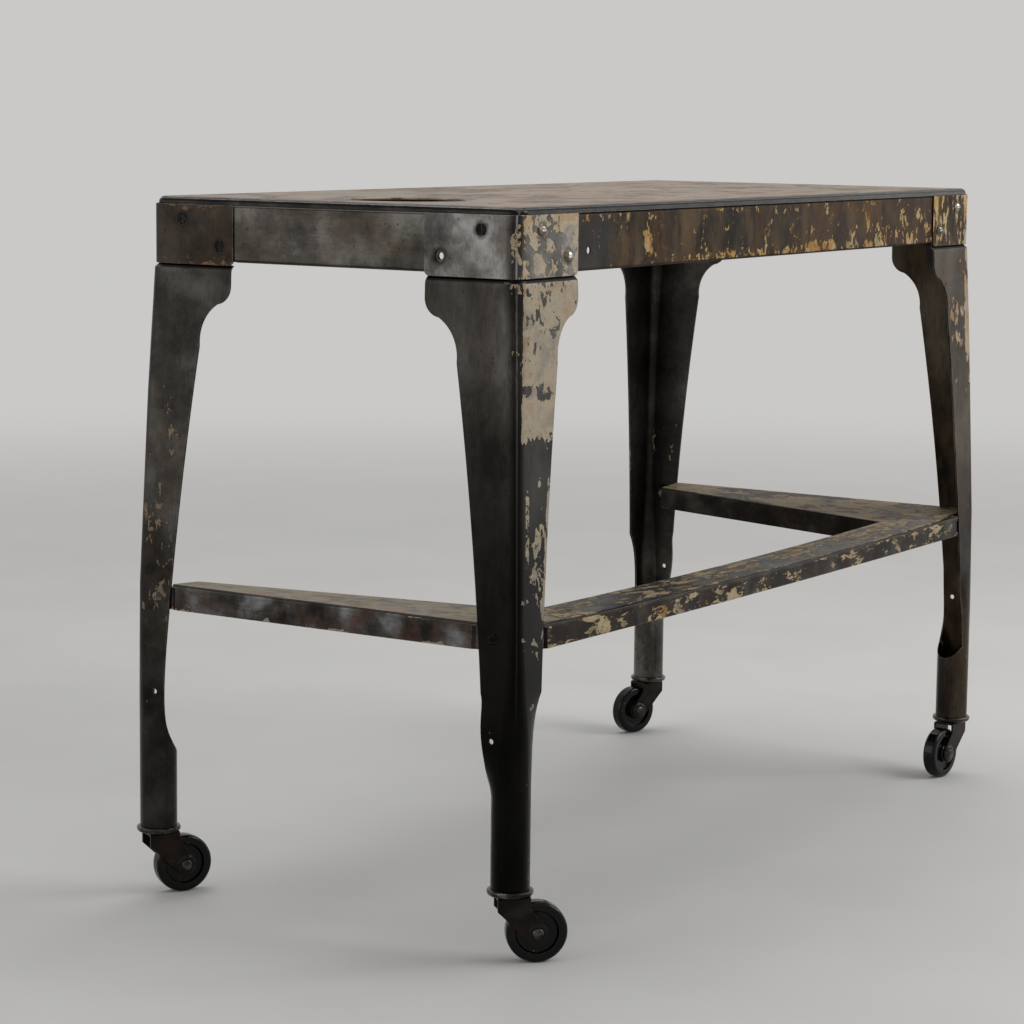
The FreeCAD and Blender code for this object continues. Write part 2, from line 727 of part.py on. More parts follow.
def rail_screw_places():
    """Each rail screw's point on the leg's leaning outer face and its direction square to it."""
    for _, side_x, side_y, _ in CORNERS:
        in_x = leg_face(rail_screw_height)
        point = corner_point(side_x, side_y, in_x, rail_screw_from_corner, rail_screw_height)
        yield point, V(-side_x, 0, -splay_slope).normalize()


def rail_fasteners():
    grip = leg_gauge + rail_gauge
    screws = [screw(dome_head_diameter / 2, dome_head_height, point, inward,
                    screw_length + grip - plate_inner, True)
              for point, inward in rail_screw_places()]
    nuts = [nut(point + inward * (grip + 2 * fit_gap), inward)
            for point, inward in rail_screw_places()]
    return Part.makeCompound(screws), Part.makeCompound(nuts)


def drilled_for_rails(solid):
    for point, inward in rail_screw_places():
        start = point - inward * overcut
        through = leg_gauge + rail_gauge + 2 * overcut
        solid = solid.cut(cylinder(screw_hole_diameter / 2, start, inward, through))
    return solid


# ---------------------------------------------------------------- casters
def tangent_point(point, centre, radius, side):
    """Where a line from point touches a circle in the XZ plane, on the chosen side."""
    gap = centre.sub(point)
    turn = side * math.acos(radius / gap.Length)
    towards = V(-gap.x, 0, -gap.z).normalize()
    return centre + V(
        towards.x * math.cos(turn) - towards.z * math.sin(turn), 0,
        towards.x * math.sin(turn) + towards.z * math.cos(turn)) * radius


def fork():
    """Stamped yoke: a crown with a cheek bent down each side, from one blank."""
    half_out = hub_width / 2 + fork_side_gap + fork_gauge
    eye = V(caster_trail, 0, axle_height)
    back_low = V(-crown_back, 0, cheek_back_height)
    front_low = V(crown_front, 0, cheek_front_height)
    back_touch = tangent_point(back_low, eye, cheek_eye_radius, 1.0)
    front_touch = tangent_point(front_low, eye, cheek_eye_radius, -1.0)
    under_eye = eye + V(1, 0, -1).normalize() * cheek_eye_radius
    outline = Part.Wire([
        line(V(-crown_back, 0, crown_top_height), back_low),
        line(back_low, back_touch),
        arc(back_touch, under_eye, front_touch),
        line(front_touch, front_low),
        line(front_low, V(crown_front, 0, crown_top_height)),
        line(V(crown_front, 0, crown_top_height), V(-crown_back, 0, crown_top_height)),
    ])
    blank = Part.Face(outline)
    blank.translate(V(0, -half_out, 0))
    yoke = blank.extrude(V(0, 2 * half_out, 0))
    yoke = filleted(yoke, crown_bend, lambda edge: edge.BoundBox.YLength < 1e-6
                    and edge.BoundBox.ZMin > crown_top_height - 1e-6)
    room = box(V(-crown_back - overcut, -half_out + fork_gauge, 0.0),
               V(2 * caster_trail, half_out - fork_gauge, crown_top_height - crown_gauge))
    yoke = yoke.cut(room)
    pin_start = V(caster_trail, -half_out - overcut, axle_height)
    yoke = yoke.cut(cylinder(axle_diameter / 2 + fit_gap, pin_start, Y_AXIS,
                             2 * (half_out + overcut)))
    return yoke.cut(cylinder(stem_diameter / 2 + fit_gap, ORIGIN, Z_AXIS,
                             crown_top_height + overcut))


def stem():
    """Swivel stem, riveted through the crown, with a thrust collar and an upper head."""
    crown_bottom = crown_top_height - crown_gauge
    rivet_bottom = crown_bottom - stem_rivet_height
    socket_top = socket_bottom + ring_height + socket_length
    head_bottom = socket_top + swivel_gap
    radius = stem_diameter / 2
    head = stem_head_diameter / 2
    return turned([
        (0, rivet_bottom), (head, rivet_bottom), (head, crown_bottom), (radius, crown_bottom),
        (radius, crown_top_height), (stem_collar_diameter / 2, crown_top_height),
        (stem_collar_diameter / 2, crown_top_height + stem_collar_height),
        (radius, crown_top_height + stem_collar_height), (radius, head_bottom),
        (head, head_bottom), (head, head_bottom + stem_head_height),
        (0, head_bottom + stem_head_height),
    ], ORIGIN, Z_AXIS)


def socket():
    """Sleeve in the leg's tube, with the rounded ring that closes the tube's end."""
    bore = stem_diameter / 2 + fit_gap
    sleeve = tube_radius - leg_gauge - fit_gap
    ring = ring_diameter / 2
    top = tube_bottom + socket_length
    body = turned([(bore, socket_bottom), (ring, socket_bottom), (ring, tube_bottom),
                   (sleeve, tube_bottom), (sleeve, top), (bore, top)], ORIGIN, Z_AXIS)
    return filleted(body, 0.45 * ring_height, lambda edge: edge.BoundBox.XLength > ring_diameter - 1e-3
                    and edge.BoundBox.ZLength < 1e-6)


def wheel():
    """Dished wheel with a rounded rim and a raised hub, its axle along Y."""
    radius, half_tread, half_hub = wheel_diameter / 2, wheel_tread / 2, hub_width / 2
    bore = axle_diameter / 2 + fit_gap
    rim_inner = radius - wheel_rim_depth
    web = half_tread - wheel_dish
    hub = hub_diameter / 2
    profile = [(bore, half_hub), (hub - hub_chamfer, half_hub), (hub, half_hub - hub_chamfer),
               (hub + hub_flare, web), (rim_inner - rim_flare, web), (rim_inner, half_tread),
               (radius, half_tread)]
    mirrored = [(r, -y) for r, y in reversed(profile)]
    body = turned(profile + mirrored, ORIGIN, Z_AXIS)
    body = filleted(body, wheel_edge_radius, lambda edge: edge.BoundBox.XLength > wheel_diameter - 1e-3
                    and edge.BoundBox.ZLength < 1e-6)
    body.Placement = FreeCAD.Placement(V(caster_trail, 0, axle_height),
                                       FreeCAD.Rotation(Z_AXIS, Y_AXIS))
    return body


def axle():
    """Rivet through both cheeks and the hub, with a domed head at each end."""
    half_out = hub_width / 2 + fork_side_gap + fork_gauge
    radius, head = axle_diameter / 2, axle_head_diameter / 2
    body = turned([(0, -half_out - axle_head_height), (head, -half_out - axle_head_height),
                   (head, -half_out), (radius, -half_out), (radius, half_out),
                   (head, half_out), (head, half_out + axle_head_height),
                   (0, half_out + axle_head_height)], ORIGIN, Z_AXIS)
    far = half_out + axle_head_height
    body = filleted(body, 0.8 * axle_head_height, lambda edge: abs(edge.BoundBox.ZMin) > far - 1e-6
                    and edge.BoundBox.ZLength < 1e-6 and edge.BoundBox.XLength > axle_diameter)
    body.Placement = FreeCAD.Placement(V(caster_trail, 0, axle_height),
                                       FreeCAD.Rotation(Z_AXIS, Y_AXIS))
    return body


# ---------------------------------------------------------------- the table
def four_aprons():
    return {
        "apron_front": apron(table_length, half_width, 0),
        "apron_right": apron(table_width, half_length, 90),
        "apron_back": apron(table_length, half_width, 180),
        "apron_left": apron(table_width, half_length, 270),
    }


def table_parts():
    """Every part by name, about the table's centreline."""
    parts = {"top_sheet": top_sheet()}
    aprons = four_aprons()
    shared_leg, shared_plate = leg(), corner_plate()
    for corner, side_x, side_y, _ in CORNERS:
        for name in aprons:
            aprons[name] = drilled_corner(aprons[name], side_x, side_y, False)
        plate = placed_at_corner(shared_plate, side_x, side_y)
        parts["corner_plate_" + corner] = drilled_corner(plate, side_x, side_y, True)
        one_leg = placed_at_corner(shared_leg, side_x, side_y)
        one_leg = drilled_for_rails(drilled_corner(one_leg, side_x, side_y, False))
        hole = corner_point(side_x, side_y, -tube_radius, shank_hole_from_corner,
                            shank_hole_height)
        parts["leg_" + corner] = one_leg.cut(
            cylinder(shank_hole_diameter / 2, hole, V(-side_x, 0, 0), tube_radius))
        screws, nuts = corner_fasteners(corner, side_x, side_y)
        parts["corner_screws_" + corner] = screws
        parts["corner_nuts_" + corner] = nuts

    spare = V(-half_length + spare_hole_from_corner, -half_width - overcut,
              apron_top - spare_hole_below_top)
    aprons["apron_front"] = aprons["apron_front"].cut(
        cylinder(spare_hole_diameter / 2, spare, Y_AXIS, plate_inner + 2 * overcut))
    parts.update(aprons)

    for name, side_x in (("end_rail_left", -1), ("end_rail_right", 1)):
        parts[name] = drilled_for_rails(end_rail(side_x))
    parts["front_rail"] = front_rail()
    parts["rail_screws"], parts["rail_nuts"] = rail_fasteners()

    pieces = {"caster_socket": socket(), "caster_stem": stem(), "caster_fork": fork(),
              "caster_axle": axle(), "caster_wheel": wheel()}
    for corner, side_x, side_y, swivel in CORNERS:
        for name, shape in pieces.items():
            piece = shape.copy()
            piece.rotate(ORIGIN, Z_AXIS, swivel)
            piece.translate(corner_point(side_x, side_y, tube_centre, tube_centre, 0.0))
            parts[name + "_" + corner] = piece
    return parts


def main():
    os.makedirs("parts", exist_ok=True)
    parts = table_parts()
    extent = Part.makeCompound(list(parts.values())).optimalBoundingBox()
    middle = V(extent.Center.x, extent.Center.y, 0)
    for name, shape in parts.items():
        shape.translate(middle * -1.0)
        export(shape, name)


main()
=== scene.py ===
"""Dresses the steel typewriter table: worn steel, flaked paint, screws and casters."""

from __future__ import annotations

import json
import logging
import math
from dataclasses import dataclass
from enum import Enum
from functools import reduce

import bmesh
import bpy
from mathutils import Matrix, Vector

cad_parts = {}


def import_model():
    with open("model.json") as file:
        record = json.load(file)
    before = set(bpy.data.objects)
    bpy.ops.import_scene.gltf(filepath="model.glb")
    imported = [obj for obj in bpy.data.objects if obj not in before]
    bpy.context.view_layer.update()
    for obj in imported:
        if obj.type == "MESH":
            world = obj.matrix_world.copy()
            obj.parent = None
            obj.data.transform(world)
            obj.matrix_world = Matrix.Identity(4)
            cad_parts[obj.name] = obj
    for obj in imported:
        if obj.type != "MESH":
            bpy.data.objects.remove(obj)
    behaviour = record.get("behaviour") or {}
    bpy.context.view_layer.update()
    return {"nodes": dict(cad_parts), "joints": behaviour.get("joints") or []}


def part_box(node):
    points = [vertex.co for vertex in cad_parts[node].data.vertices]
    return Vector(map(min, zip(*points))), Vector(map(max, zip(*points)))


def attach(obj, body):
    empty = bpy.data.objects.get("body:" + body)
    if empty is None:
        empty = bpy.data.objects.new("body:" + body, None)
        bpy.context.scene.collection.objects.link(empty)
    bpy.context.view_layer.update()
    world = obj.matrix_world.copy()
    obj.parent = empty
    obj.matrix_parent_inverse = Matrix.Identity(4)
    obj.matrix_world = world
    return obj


log = logging.getLogger("typewriter_table")

Colour = tuple[int, int, int]
Socket = bpy.types.NodeSocket
Source = "Socket | float | tuple[float, ...]"

BEND_REFLECTION_DARK = (17, 16, 15)  # painted dark reflection across a bend
INSIDE_PAINTED_SHADE = (24, 23, 21)  # painted shade on inner faces
RIM_PAINTED_SHADE = (18, 17, 15)  # painted shade on the top's rolled rim
CHIP_RIM = (36, 29, 22)  # the dark line round a chip of paint
PIT_BROWN = (20, 17, 14)
TOP_PIT_BROWN = (30, 24, 19)
SCREW_STAIN = (30, 24, 18)
PAINT_STAIN = (124, 102, 76)
PAINT_SPECK = (50, 42, 34)
SCRATCH = (178, 168, 152)
# rubbed bare edges, partly wear and partly a painted highlight
RUBBED_EDGE_HIGHLIGHT = (196, 194, 190)
DUST = (132, 108, 78)
WORN_RUBBER = (84, 80, 76)
RELIEF_DEPTH = 0.0004  # metres
RELIEF_STRENGTH = 0.5
BEND_COSINES = (0.975, 0.86)  # largest part of the normal where a bend's painted dark reflection starts and is full
CREST_COSINES = (0.765, 0.725)  # the same for the painted highlight along the bend's crest
INSIDE_COSINES = (0.50, 0.68)  # how squarely an inner face looks one way, for its painted shade
INSIDE_SHARE = 0.45
TUBE_POLISH = 0.12  # how much smoother a tube is than a square leg
SQUARE_ABOVE = 0.235  # height at which a leg has opened from its tube into a square angle
SQUARE_EASE = (-0.03, 0.01)  # the ease below and above it


# ---------------------------------------------------------------- words shared by the finishes
class Facing(Enum):
    """The way a painted surface looks, as a direction in the table's frame."""

    FRONT = (0.0, -1.0, 0.0)
    BACK = (0.0, 1.0, 0.0)
    LEFT = (-1.0, 0.0, 0.0)
    RIGHT = (1.0, 0.0, 0.0)
    UP = (0.0, 0.0, 1.0)
    FRONT_LEFT = (-0.7071, -0.7071, 0.0)


class Axis(Enum):
    """An axis of the table: X along it, Y across it, Z up."""

    X = 0
    Y = 1
    Z = 2


class Corner(Enum):
    """A corner of the table, with its side in X and in Y."""

    FRONT_LEFT = ("front_left", -1, -1)
    FRONT_RIGHT = ("front_right", 1, -1)
    BACK_RIGHT = ("back_right", 1, 1)
    BACK_LEFT = ("back_left", -1, 1)

    @property
    def word(self) -> str:
        """The corner's part of a node's name."""
        return self.value[0]

    @property
    def outer(self) -> tuple[float, float]:
        """The plate's outer corner in plan, in metres."""
        low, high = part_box("corner_plate_" + self.word)
        return (high.x if self.value[1] > 0 else low.x, high.y if self.value[2] > 0 else low.y)

    def screws(self) -> tuple[tuple[float, float, float], ...]:
        """Where the corner's four screws sit.

        Returns:
            Their centres on the plate's faces, in metres.
        """
        x, y = self.outer
        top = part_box("corner_plate_" + self.word)[1].z
        points = []
        for along, down in ((0.038, 0.013), (0.081, 0.037)):
            points.append((x, y - self.value[2] * along, top - down))
            points.append((x - self.value[1] * along, y, top - down))
        return tuple(points)


def linear(colour: Colour) -> tuple[float, float, float, float]:
    """Turn a colour written as 0 to 255 into the linear values a shader takes.

    Args:
        colour: Red, green and blue from 0 to 255.

    Returns:
        Linear red, green, blue and an alpha of 1.
    """
    steps = [c / 255.0 for c in colour]
    low_high = [s / 12.92 if s <= 0.04045 else ((s + 0.055) / 1.055) ** 2.4 for s in steps]
    return (low_high[0], low_high[1], low_high[2], 1.0)


# ---------------------------------------------------------------- node bench
class Bench:
    """Lays out the node tree of one material."""

    def __init__(self, name: str) -> None:
        """Start a material with an empty tree and its coordinates.

        Args:
            name: The material's name.
        """
        self.material = bpy.data.materials.new(name)
        self.material.use_nodes = True
        self.tree = self.material.node_tree
        self.tree.nodes.clear()
        coordinates = self.tree.nodes.new("ShaderNodeTexCoord")
        self.place: Socket = coordinates.outputs["Object"]
        self.normal: Socket = coordinates.outputs["Normal"]

    def feed(self, socket: Socket, source: Source) -> None:
        """Link a socket or set its value.

        Args:
            socket: The input to fill.
            source: An output to link, or a value to set.
        """
        if isinstance(source, bpy.types.NodeSocket):
            self.tree.links.new(source, socket)
        else:
            socket.default_value = source

    def node(self, kind: str, inputs: dict[str | int, Source],
             **settings: object) -> bpy.types.Node:
        """Add a node.

        Args:
            kind: Blender's name of the node, after ShaderNode.
            inputs: What fills its inputs, by name or number.
            settings: Its settings.

        Returns:
            The node.
        """
        node = self.tree.nodes.new("ShaderNode" + kind)
        for name, setting in settings.items():
            setattr(node, name, setting)
        for key, source in inputs.items():
            self.feed(node.inputs[key], source)
        return node

    def math(self, operation: str, a: Source, b: Source = 0.0) -> Socket:
        """Join two numbers with one step of arithmetic.

        Args:
            operation: Blender's name of the step.
            a: The first number.
            b: The second number, where the step takes one.

        Returns:
            The result.
        """
        return self.node("Math", {0: a, 1: b}, operation=operation).outputs[0]

    def total(self, *terms: Source) -> Socket:
        """Add numbers up, from the first to the last."""
        return reduce(lambda a, b: self.math("ADD", a, b), terms)

    def product(self, *factors: Source) -> Socket:
        """Multiply numbers, from the first to the last."""
        return reduce(lambda a, b: self.math("MULTIPLY", a, b), factors)

    def scaled(self, a: Source, factor: float, shift: float = 0.0) -> Socket:
        """Multiply a number and add to it.

        Args:
            a: The number.
            factor: What multiplies it.
            shift: What is added.

        Returns:
            The result.
        """
        return self.node("Math", {0: a, 1: factor, 2: shift},
                         operation="MULTIPLY_ADD").outputs[0]

    def smooth(self, a: Source, low: float, high: float, bottom: float = 0.0,
               top: float = 1.0) -> Socket:
        """Ease a number from one level to another as it passes between two values.

        Args:
            a: The number.
            low: Where the ease starts.
            high: Where it ends.
            bottom: The level at the start.
            top: The level at the end.

        Returns:
            The eased level.
        """
        return self.node("MapRange", {"Value": a, "From Min": low, "From Max": high,
                                      "To Min": bottom, "To Max": top},
                         interpolation_type="SMOOTHSTEP").outputs["Result"]

    def cloud(self, size: float, detail: float = 4.0, roughness: float = 0.55,
              distortion: float = 0.0, grain: tuple[float, float, float] = (1.0, 1.0, 1.0),
              turn: tuple[float, float, float] = (0.0, 0.0, 0.0)) -> Socket:
        """Soft noise in space.

        Args:
            size: The size of its lumps, in metres.
            detail: How many finer layers it has.
            roughness: The strength of each finer layer.
            distortion: How far it is warped.
            grain: What stretches it along each axis: below 1 draws it out.
            turn: The turn of its axes, in degrees.

        Returns:
            Its value from 0 to 1.
        """
        turned = tuple(math.radians(t) for t in turn)
        place = self.node("Mapping", {"Vector": self.place, "Rotation": turned, "Scale": grain},
                          vector_type="POINT").outputs["Vector"]
        return self.node("TexNoise", {"Vector": place, "Scale": 1.0 / size, "Detail": detail,
                                      "Roughness": roughness,
                                      "Distortion": distortion}).outputs["Fac"]

    def ramp(self, a: Source, stops: tuple[tuple[float, tuple[float, ...]], ...]) -> Socket:
        """Turn a number into a colour.

        Args:
            a: The number.
            stops: Pairs of a place from 0 to 1 and a linear colour.

        Returns:
            The colour.
        """
        node = self.node("ValToRGB", {0: a})
        elements = node.color_ramp.elements
        while len(elements) > 1:
            elements.remove(elements[-1])
        elements[0].position, elements[0].color = stops[0]
        for position, colour in stops[1:]:
            elements.new(position).color = colour
        return node.outputs["Color"]

    def tones(self, a: Source, *stops: tuple[float, Colour]) -> Socket:
        """Turn a number into a colour written as 0 to 255.

        Args:
            a: The number.
            stops: Pairs of a place from 0 to 1 and a colour.

        Returns:
            The colour.
        """
        return self.ramp(a, tuple((at, linear(colour)) for at, colour in stops))

    def blend(self, share: Source, a: Source, b: Source, how: str = "MIX") -> Socket:
        """Mix two colours.

        Args:
            share: How much of the second shows.
            a: The first colour.
            b: The second colour.
            how: Blender's name of the mix.

        Returns:
            The mixed colour.
        """
        return self.node("Mix", {0: share, 6: a, 7: b}, data_type="RGBA",
                         blend_type=how).outputs[2]

    def tint(self, share: Source, under: Source, colour: Colour) -> Socket:
        """Lay one colour, written as 0 to 255, over another.

        Args:
            share: How much of it shows.
            under: The colour below.
            colour: The colour laid over.

        Returns:
            The mixed colour.
        """
        return self.blend(share, under, linear(colour))

    def along(self, axis: Axis) -> Socket:
        """The place along one axis.

        Args:
            axis: The axis.

        Returns:
            The coordinate, in metres.
        """
        return self.node("SeparateXYZ", {0: self.place}).outputs[axis.value]

    def faces(self, facing: Facing, low: float = 0.86, high: float = 0.965) -> Socket:
        """How squarely the surface looks one way.

        Args:
            facing: The way.
            low: The cosine at which the mask starts.
            high: The cosine from which it is full.

        Returns:
            1 where it looks that way, 0 where it looks aside.
        """
        node = self.node("VectorMath", {0: self.normal, 1: facing.value},
                         operation="DOT_PRODUCT")
        return self.smooth(node.outputs["Value"], low, high)

    def bends(self) -> tuple[Socket, Socket]:
        """Where the sheet turns a corner.

        Returns:
            A mask that is 1 in a bend and 0 on a face that looks along an axis, and a
            narrow one along the bend's crest.
        """
        size = self.node("VectorMath", {0: self.normal}, operation="ABSOLUTE")
        parts = self.node("SeparateXYZ", {0: size.outputs["Vector"]}).outputs
        most = self.math("MAXIMUM", self.math("MAXIMUM", parts[0], parts[1]), parts[2])
        return self.smooth(most, *BEND_COSINES), self.smooth(most, *CREST_COSINES)

    def distance(self, point: tuple[float, float, float]) -> Socket:
        """Distance from a point.

        Args:
            point: The point, in metres.

        Returns:
            The distance, in metres.
        """
        return self.node("VectorMath", {0: self.place, 1: point},
                         operation="DISTANCE").outputs["Value"]

    def edges(self, radius: float) -> tuple[Socket, Socket]:
        """Rounded edges and where they are.

        Args:
            radius: How far from an edge the rounding reaches, in metres.

        Returns:
            The rounded normal, and a mask that is 1 on a sharp edge.
        """
        rounded = self.node("Bevel", {"Radius": radius}, samples=4).outputs["Normal"]
        flat = self.node("NewGeometry", {}).outputs["Normal"]
        dot = self.node("VectorMath", {0: rounded, 1: flat}, operation="DOT_PRODUCT")
        return rounded, self.smooth(dot.outputs["Value"], 0.995, 0.90)

    def relief(self, height: Source, distance: float, strength: float, normal: Source) -> Socket:
        """Fine relief.

        Args:
            height: The relief, from 0 to 1.
            distance: What 1 stands for, in metres.
            strength: Its strength, from 0 to 1.
            normal: The normal it is laid on.

        Returns:
            The new normal.
        """
        return self.node("Bump", {"Strength": strength, "Distance": distance, "Height": height,
                                  "Normal": normal}).outputs["Normal"]

    def surface(self, **inputs: Source) -> bpy.types.Material:
        """Close the tree with its shader.

        Args:
            inputs: The shader's sockets by name, with _ for a space.

        Returns:
            The finished material.
        """
        shader = self.node("BsdfPrincipled", {name.replace("_", " "): source
                                              for name, source in inputs.items()})
        self.node("OutputMaterial", {0: shader.outputs[0]})
        return self.material


# ---------------------------------------------------------------- finishes
@dataclass(frozen=True)
class SteelTone:
    """The colours of bare old steel, from its darkest patina to its rubbed clouds."""

    dark: Colour
    middle: Colour
    light: Colour
    rust: Colour = (78, 58, 42)
    rust_share: float = 0.3
    cloud_size: float = 0.055
    cloud_grain: tuple[float, float, float] = (1.0, 1.0, 1.0)
    gloss: float = 0.40
    metallic: float = 0.9
    # edge: rubbed edges, partly wear and partly a painted highlight, and the painted highlight
    # along a bend's crest
    edge: Colour = (168, 166, 162)
    edge_share: float = 0.75
    # how much painted dark reflection darkens a bend
    bend_reflection_share: float = 0.6
    # how much painted highlight, in the edge colour, lies along a bend's crest
    crest_highlight_share: float = 0.35
    specular: float = 0.4


GUNMETAL = SteelTone((37, 35, 32), (69, 66, 61), (104, 102, 98), rust=(70, 54, 40))
BLACKENED = SteelTone((31, 29, 26), (56, 54, 50), (88, 86, 82), rust=(64, 50, 38))
BROWNED = SteelTone((16, 14, 10), (42, 35, 23), (84, 67, 44), rust=(74, 50, 30), rust_share=0.6,
                    cloud_size=0.026, cloud_grain=(1.0, 1.0, 0.5), gloss=0.46, metallic=0.35,
                    edge=(96, 84, 66), edge_share=0.5, crest_highlight_share=0.2, specular=0.06)


@dataclass(frozen=True)
class Run:
    """How a share changes along an axis, as pairs of a coordinate in metres and a share."""

    axis: Axis
    stops: tuple[tuple[float, float], ...]

    def read(self, bench: Bench) -> Socket:
        """Lay the run out on a bench.

        Args:
            bench: The bench of the finish.

        Returns:
            The share at each place.
        """
        start, end = self.stops[0][0], self.stops[-1][0]
        span = end - start
        place = bench.scaled(bench.along(self.axis), 1.0 / span, -start / span)
        stops = tuple(((at - start) / span, (share, share, share, 1.0))
                      for at, share in self.stops)
        return bench.ramp(place, stops)


@dataclass(frozen=True)
class Wash:
    """A colour that the steel takes on along a run, such as the blue of old heat."""

    colour: Colour
    run: Run


@dataclass(frozen=True)
class Patch:
    """Paint left on the surfaces that look one way."""

    facing: Facing
    share: float
    runs: tuple[Run, ...] = ()

    def read(self, bench: Bench) -> Socket:
        """Lay the patch out on a bench.

        Args:
            bench: The bench of the finish.

        Returns:
            How much paint is left at each place.
        """
        return bench.product(bench.faces(self.facing), self.share,
                             *(run.read(bench) for run in self.runs))


@dataclass(frozen=True)
class Streak:
    """Paint left along a line down one flange of a leg, such as its free edge."""

    facing: Facing
    share: float
    corner: tuple[float, float]
    line: tuple[tuple[float, float], ...]
    half_width: float = 0.006
    runs: tuple[Run, ...] = ()

    def read(self, bench: Bench) -> Socket:
        """Lay the streak out on a bench.

        Args:
            bench: The bench of the finish.

        Returns:
            How much paint is left at each place.
        """
        across = Axis.X if self.facing in (Facing.FRONT, Facing.BACK) else Axis.Y
        corner = self.corner[across.value]
        side = -1.0 if corner > 0.0 else 1.0
        inward = bench.scaled(bench.along(across), side, -side * corner)
        where = Run(Axis.Z, tuple((z, 0.05 + inset) for z, inset in self.line)).read(bench)
        off = bench.math("ABSOLUTE", bench.math("SUBTRACT", inward,
                                                bench.scaled(where, 1.0, -0.05)))
        left = bench.smooth(off, self.half_width, self.half_width * 0.3, 0.0, self.share)
        return bench.product(left, bench.faces(self.facing),
                             *(run.read(bench) for run in self.runs))


@dataclass(frozen=True)
class PaintCoat:
    """Old cream paint that has flaked off in chips."""

    patches: tuple[Patch | Streak, ...] = ()
    cream: Colour = (190, 172, 142)
    tan: Colour = (176, 152, 114)
    grey: Colour = (164, 150, 134)
    under: Colour = (104, 78, 50)
    under_reach: float = 0.0
    chip_size: float = 0.022
    grain: tuple[float, float, float] = (1.0, 1.0, 0.55)
    stray: float = 0.06
    edge_wear: float = 0.10


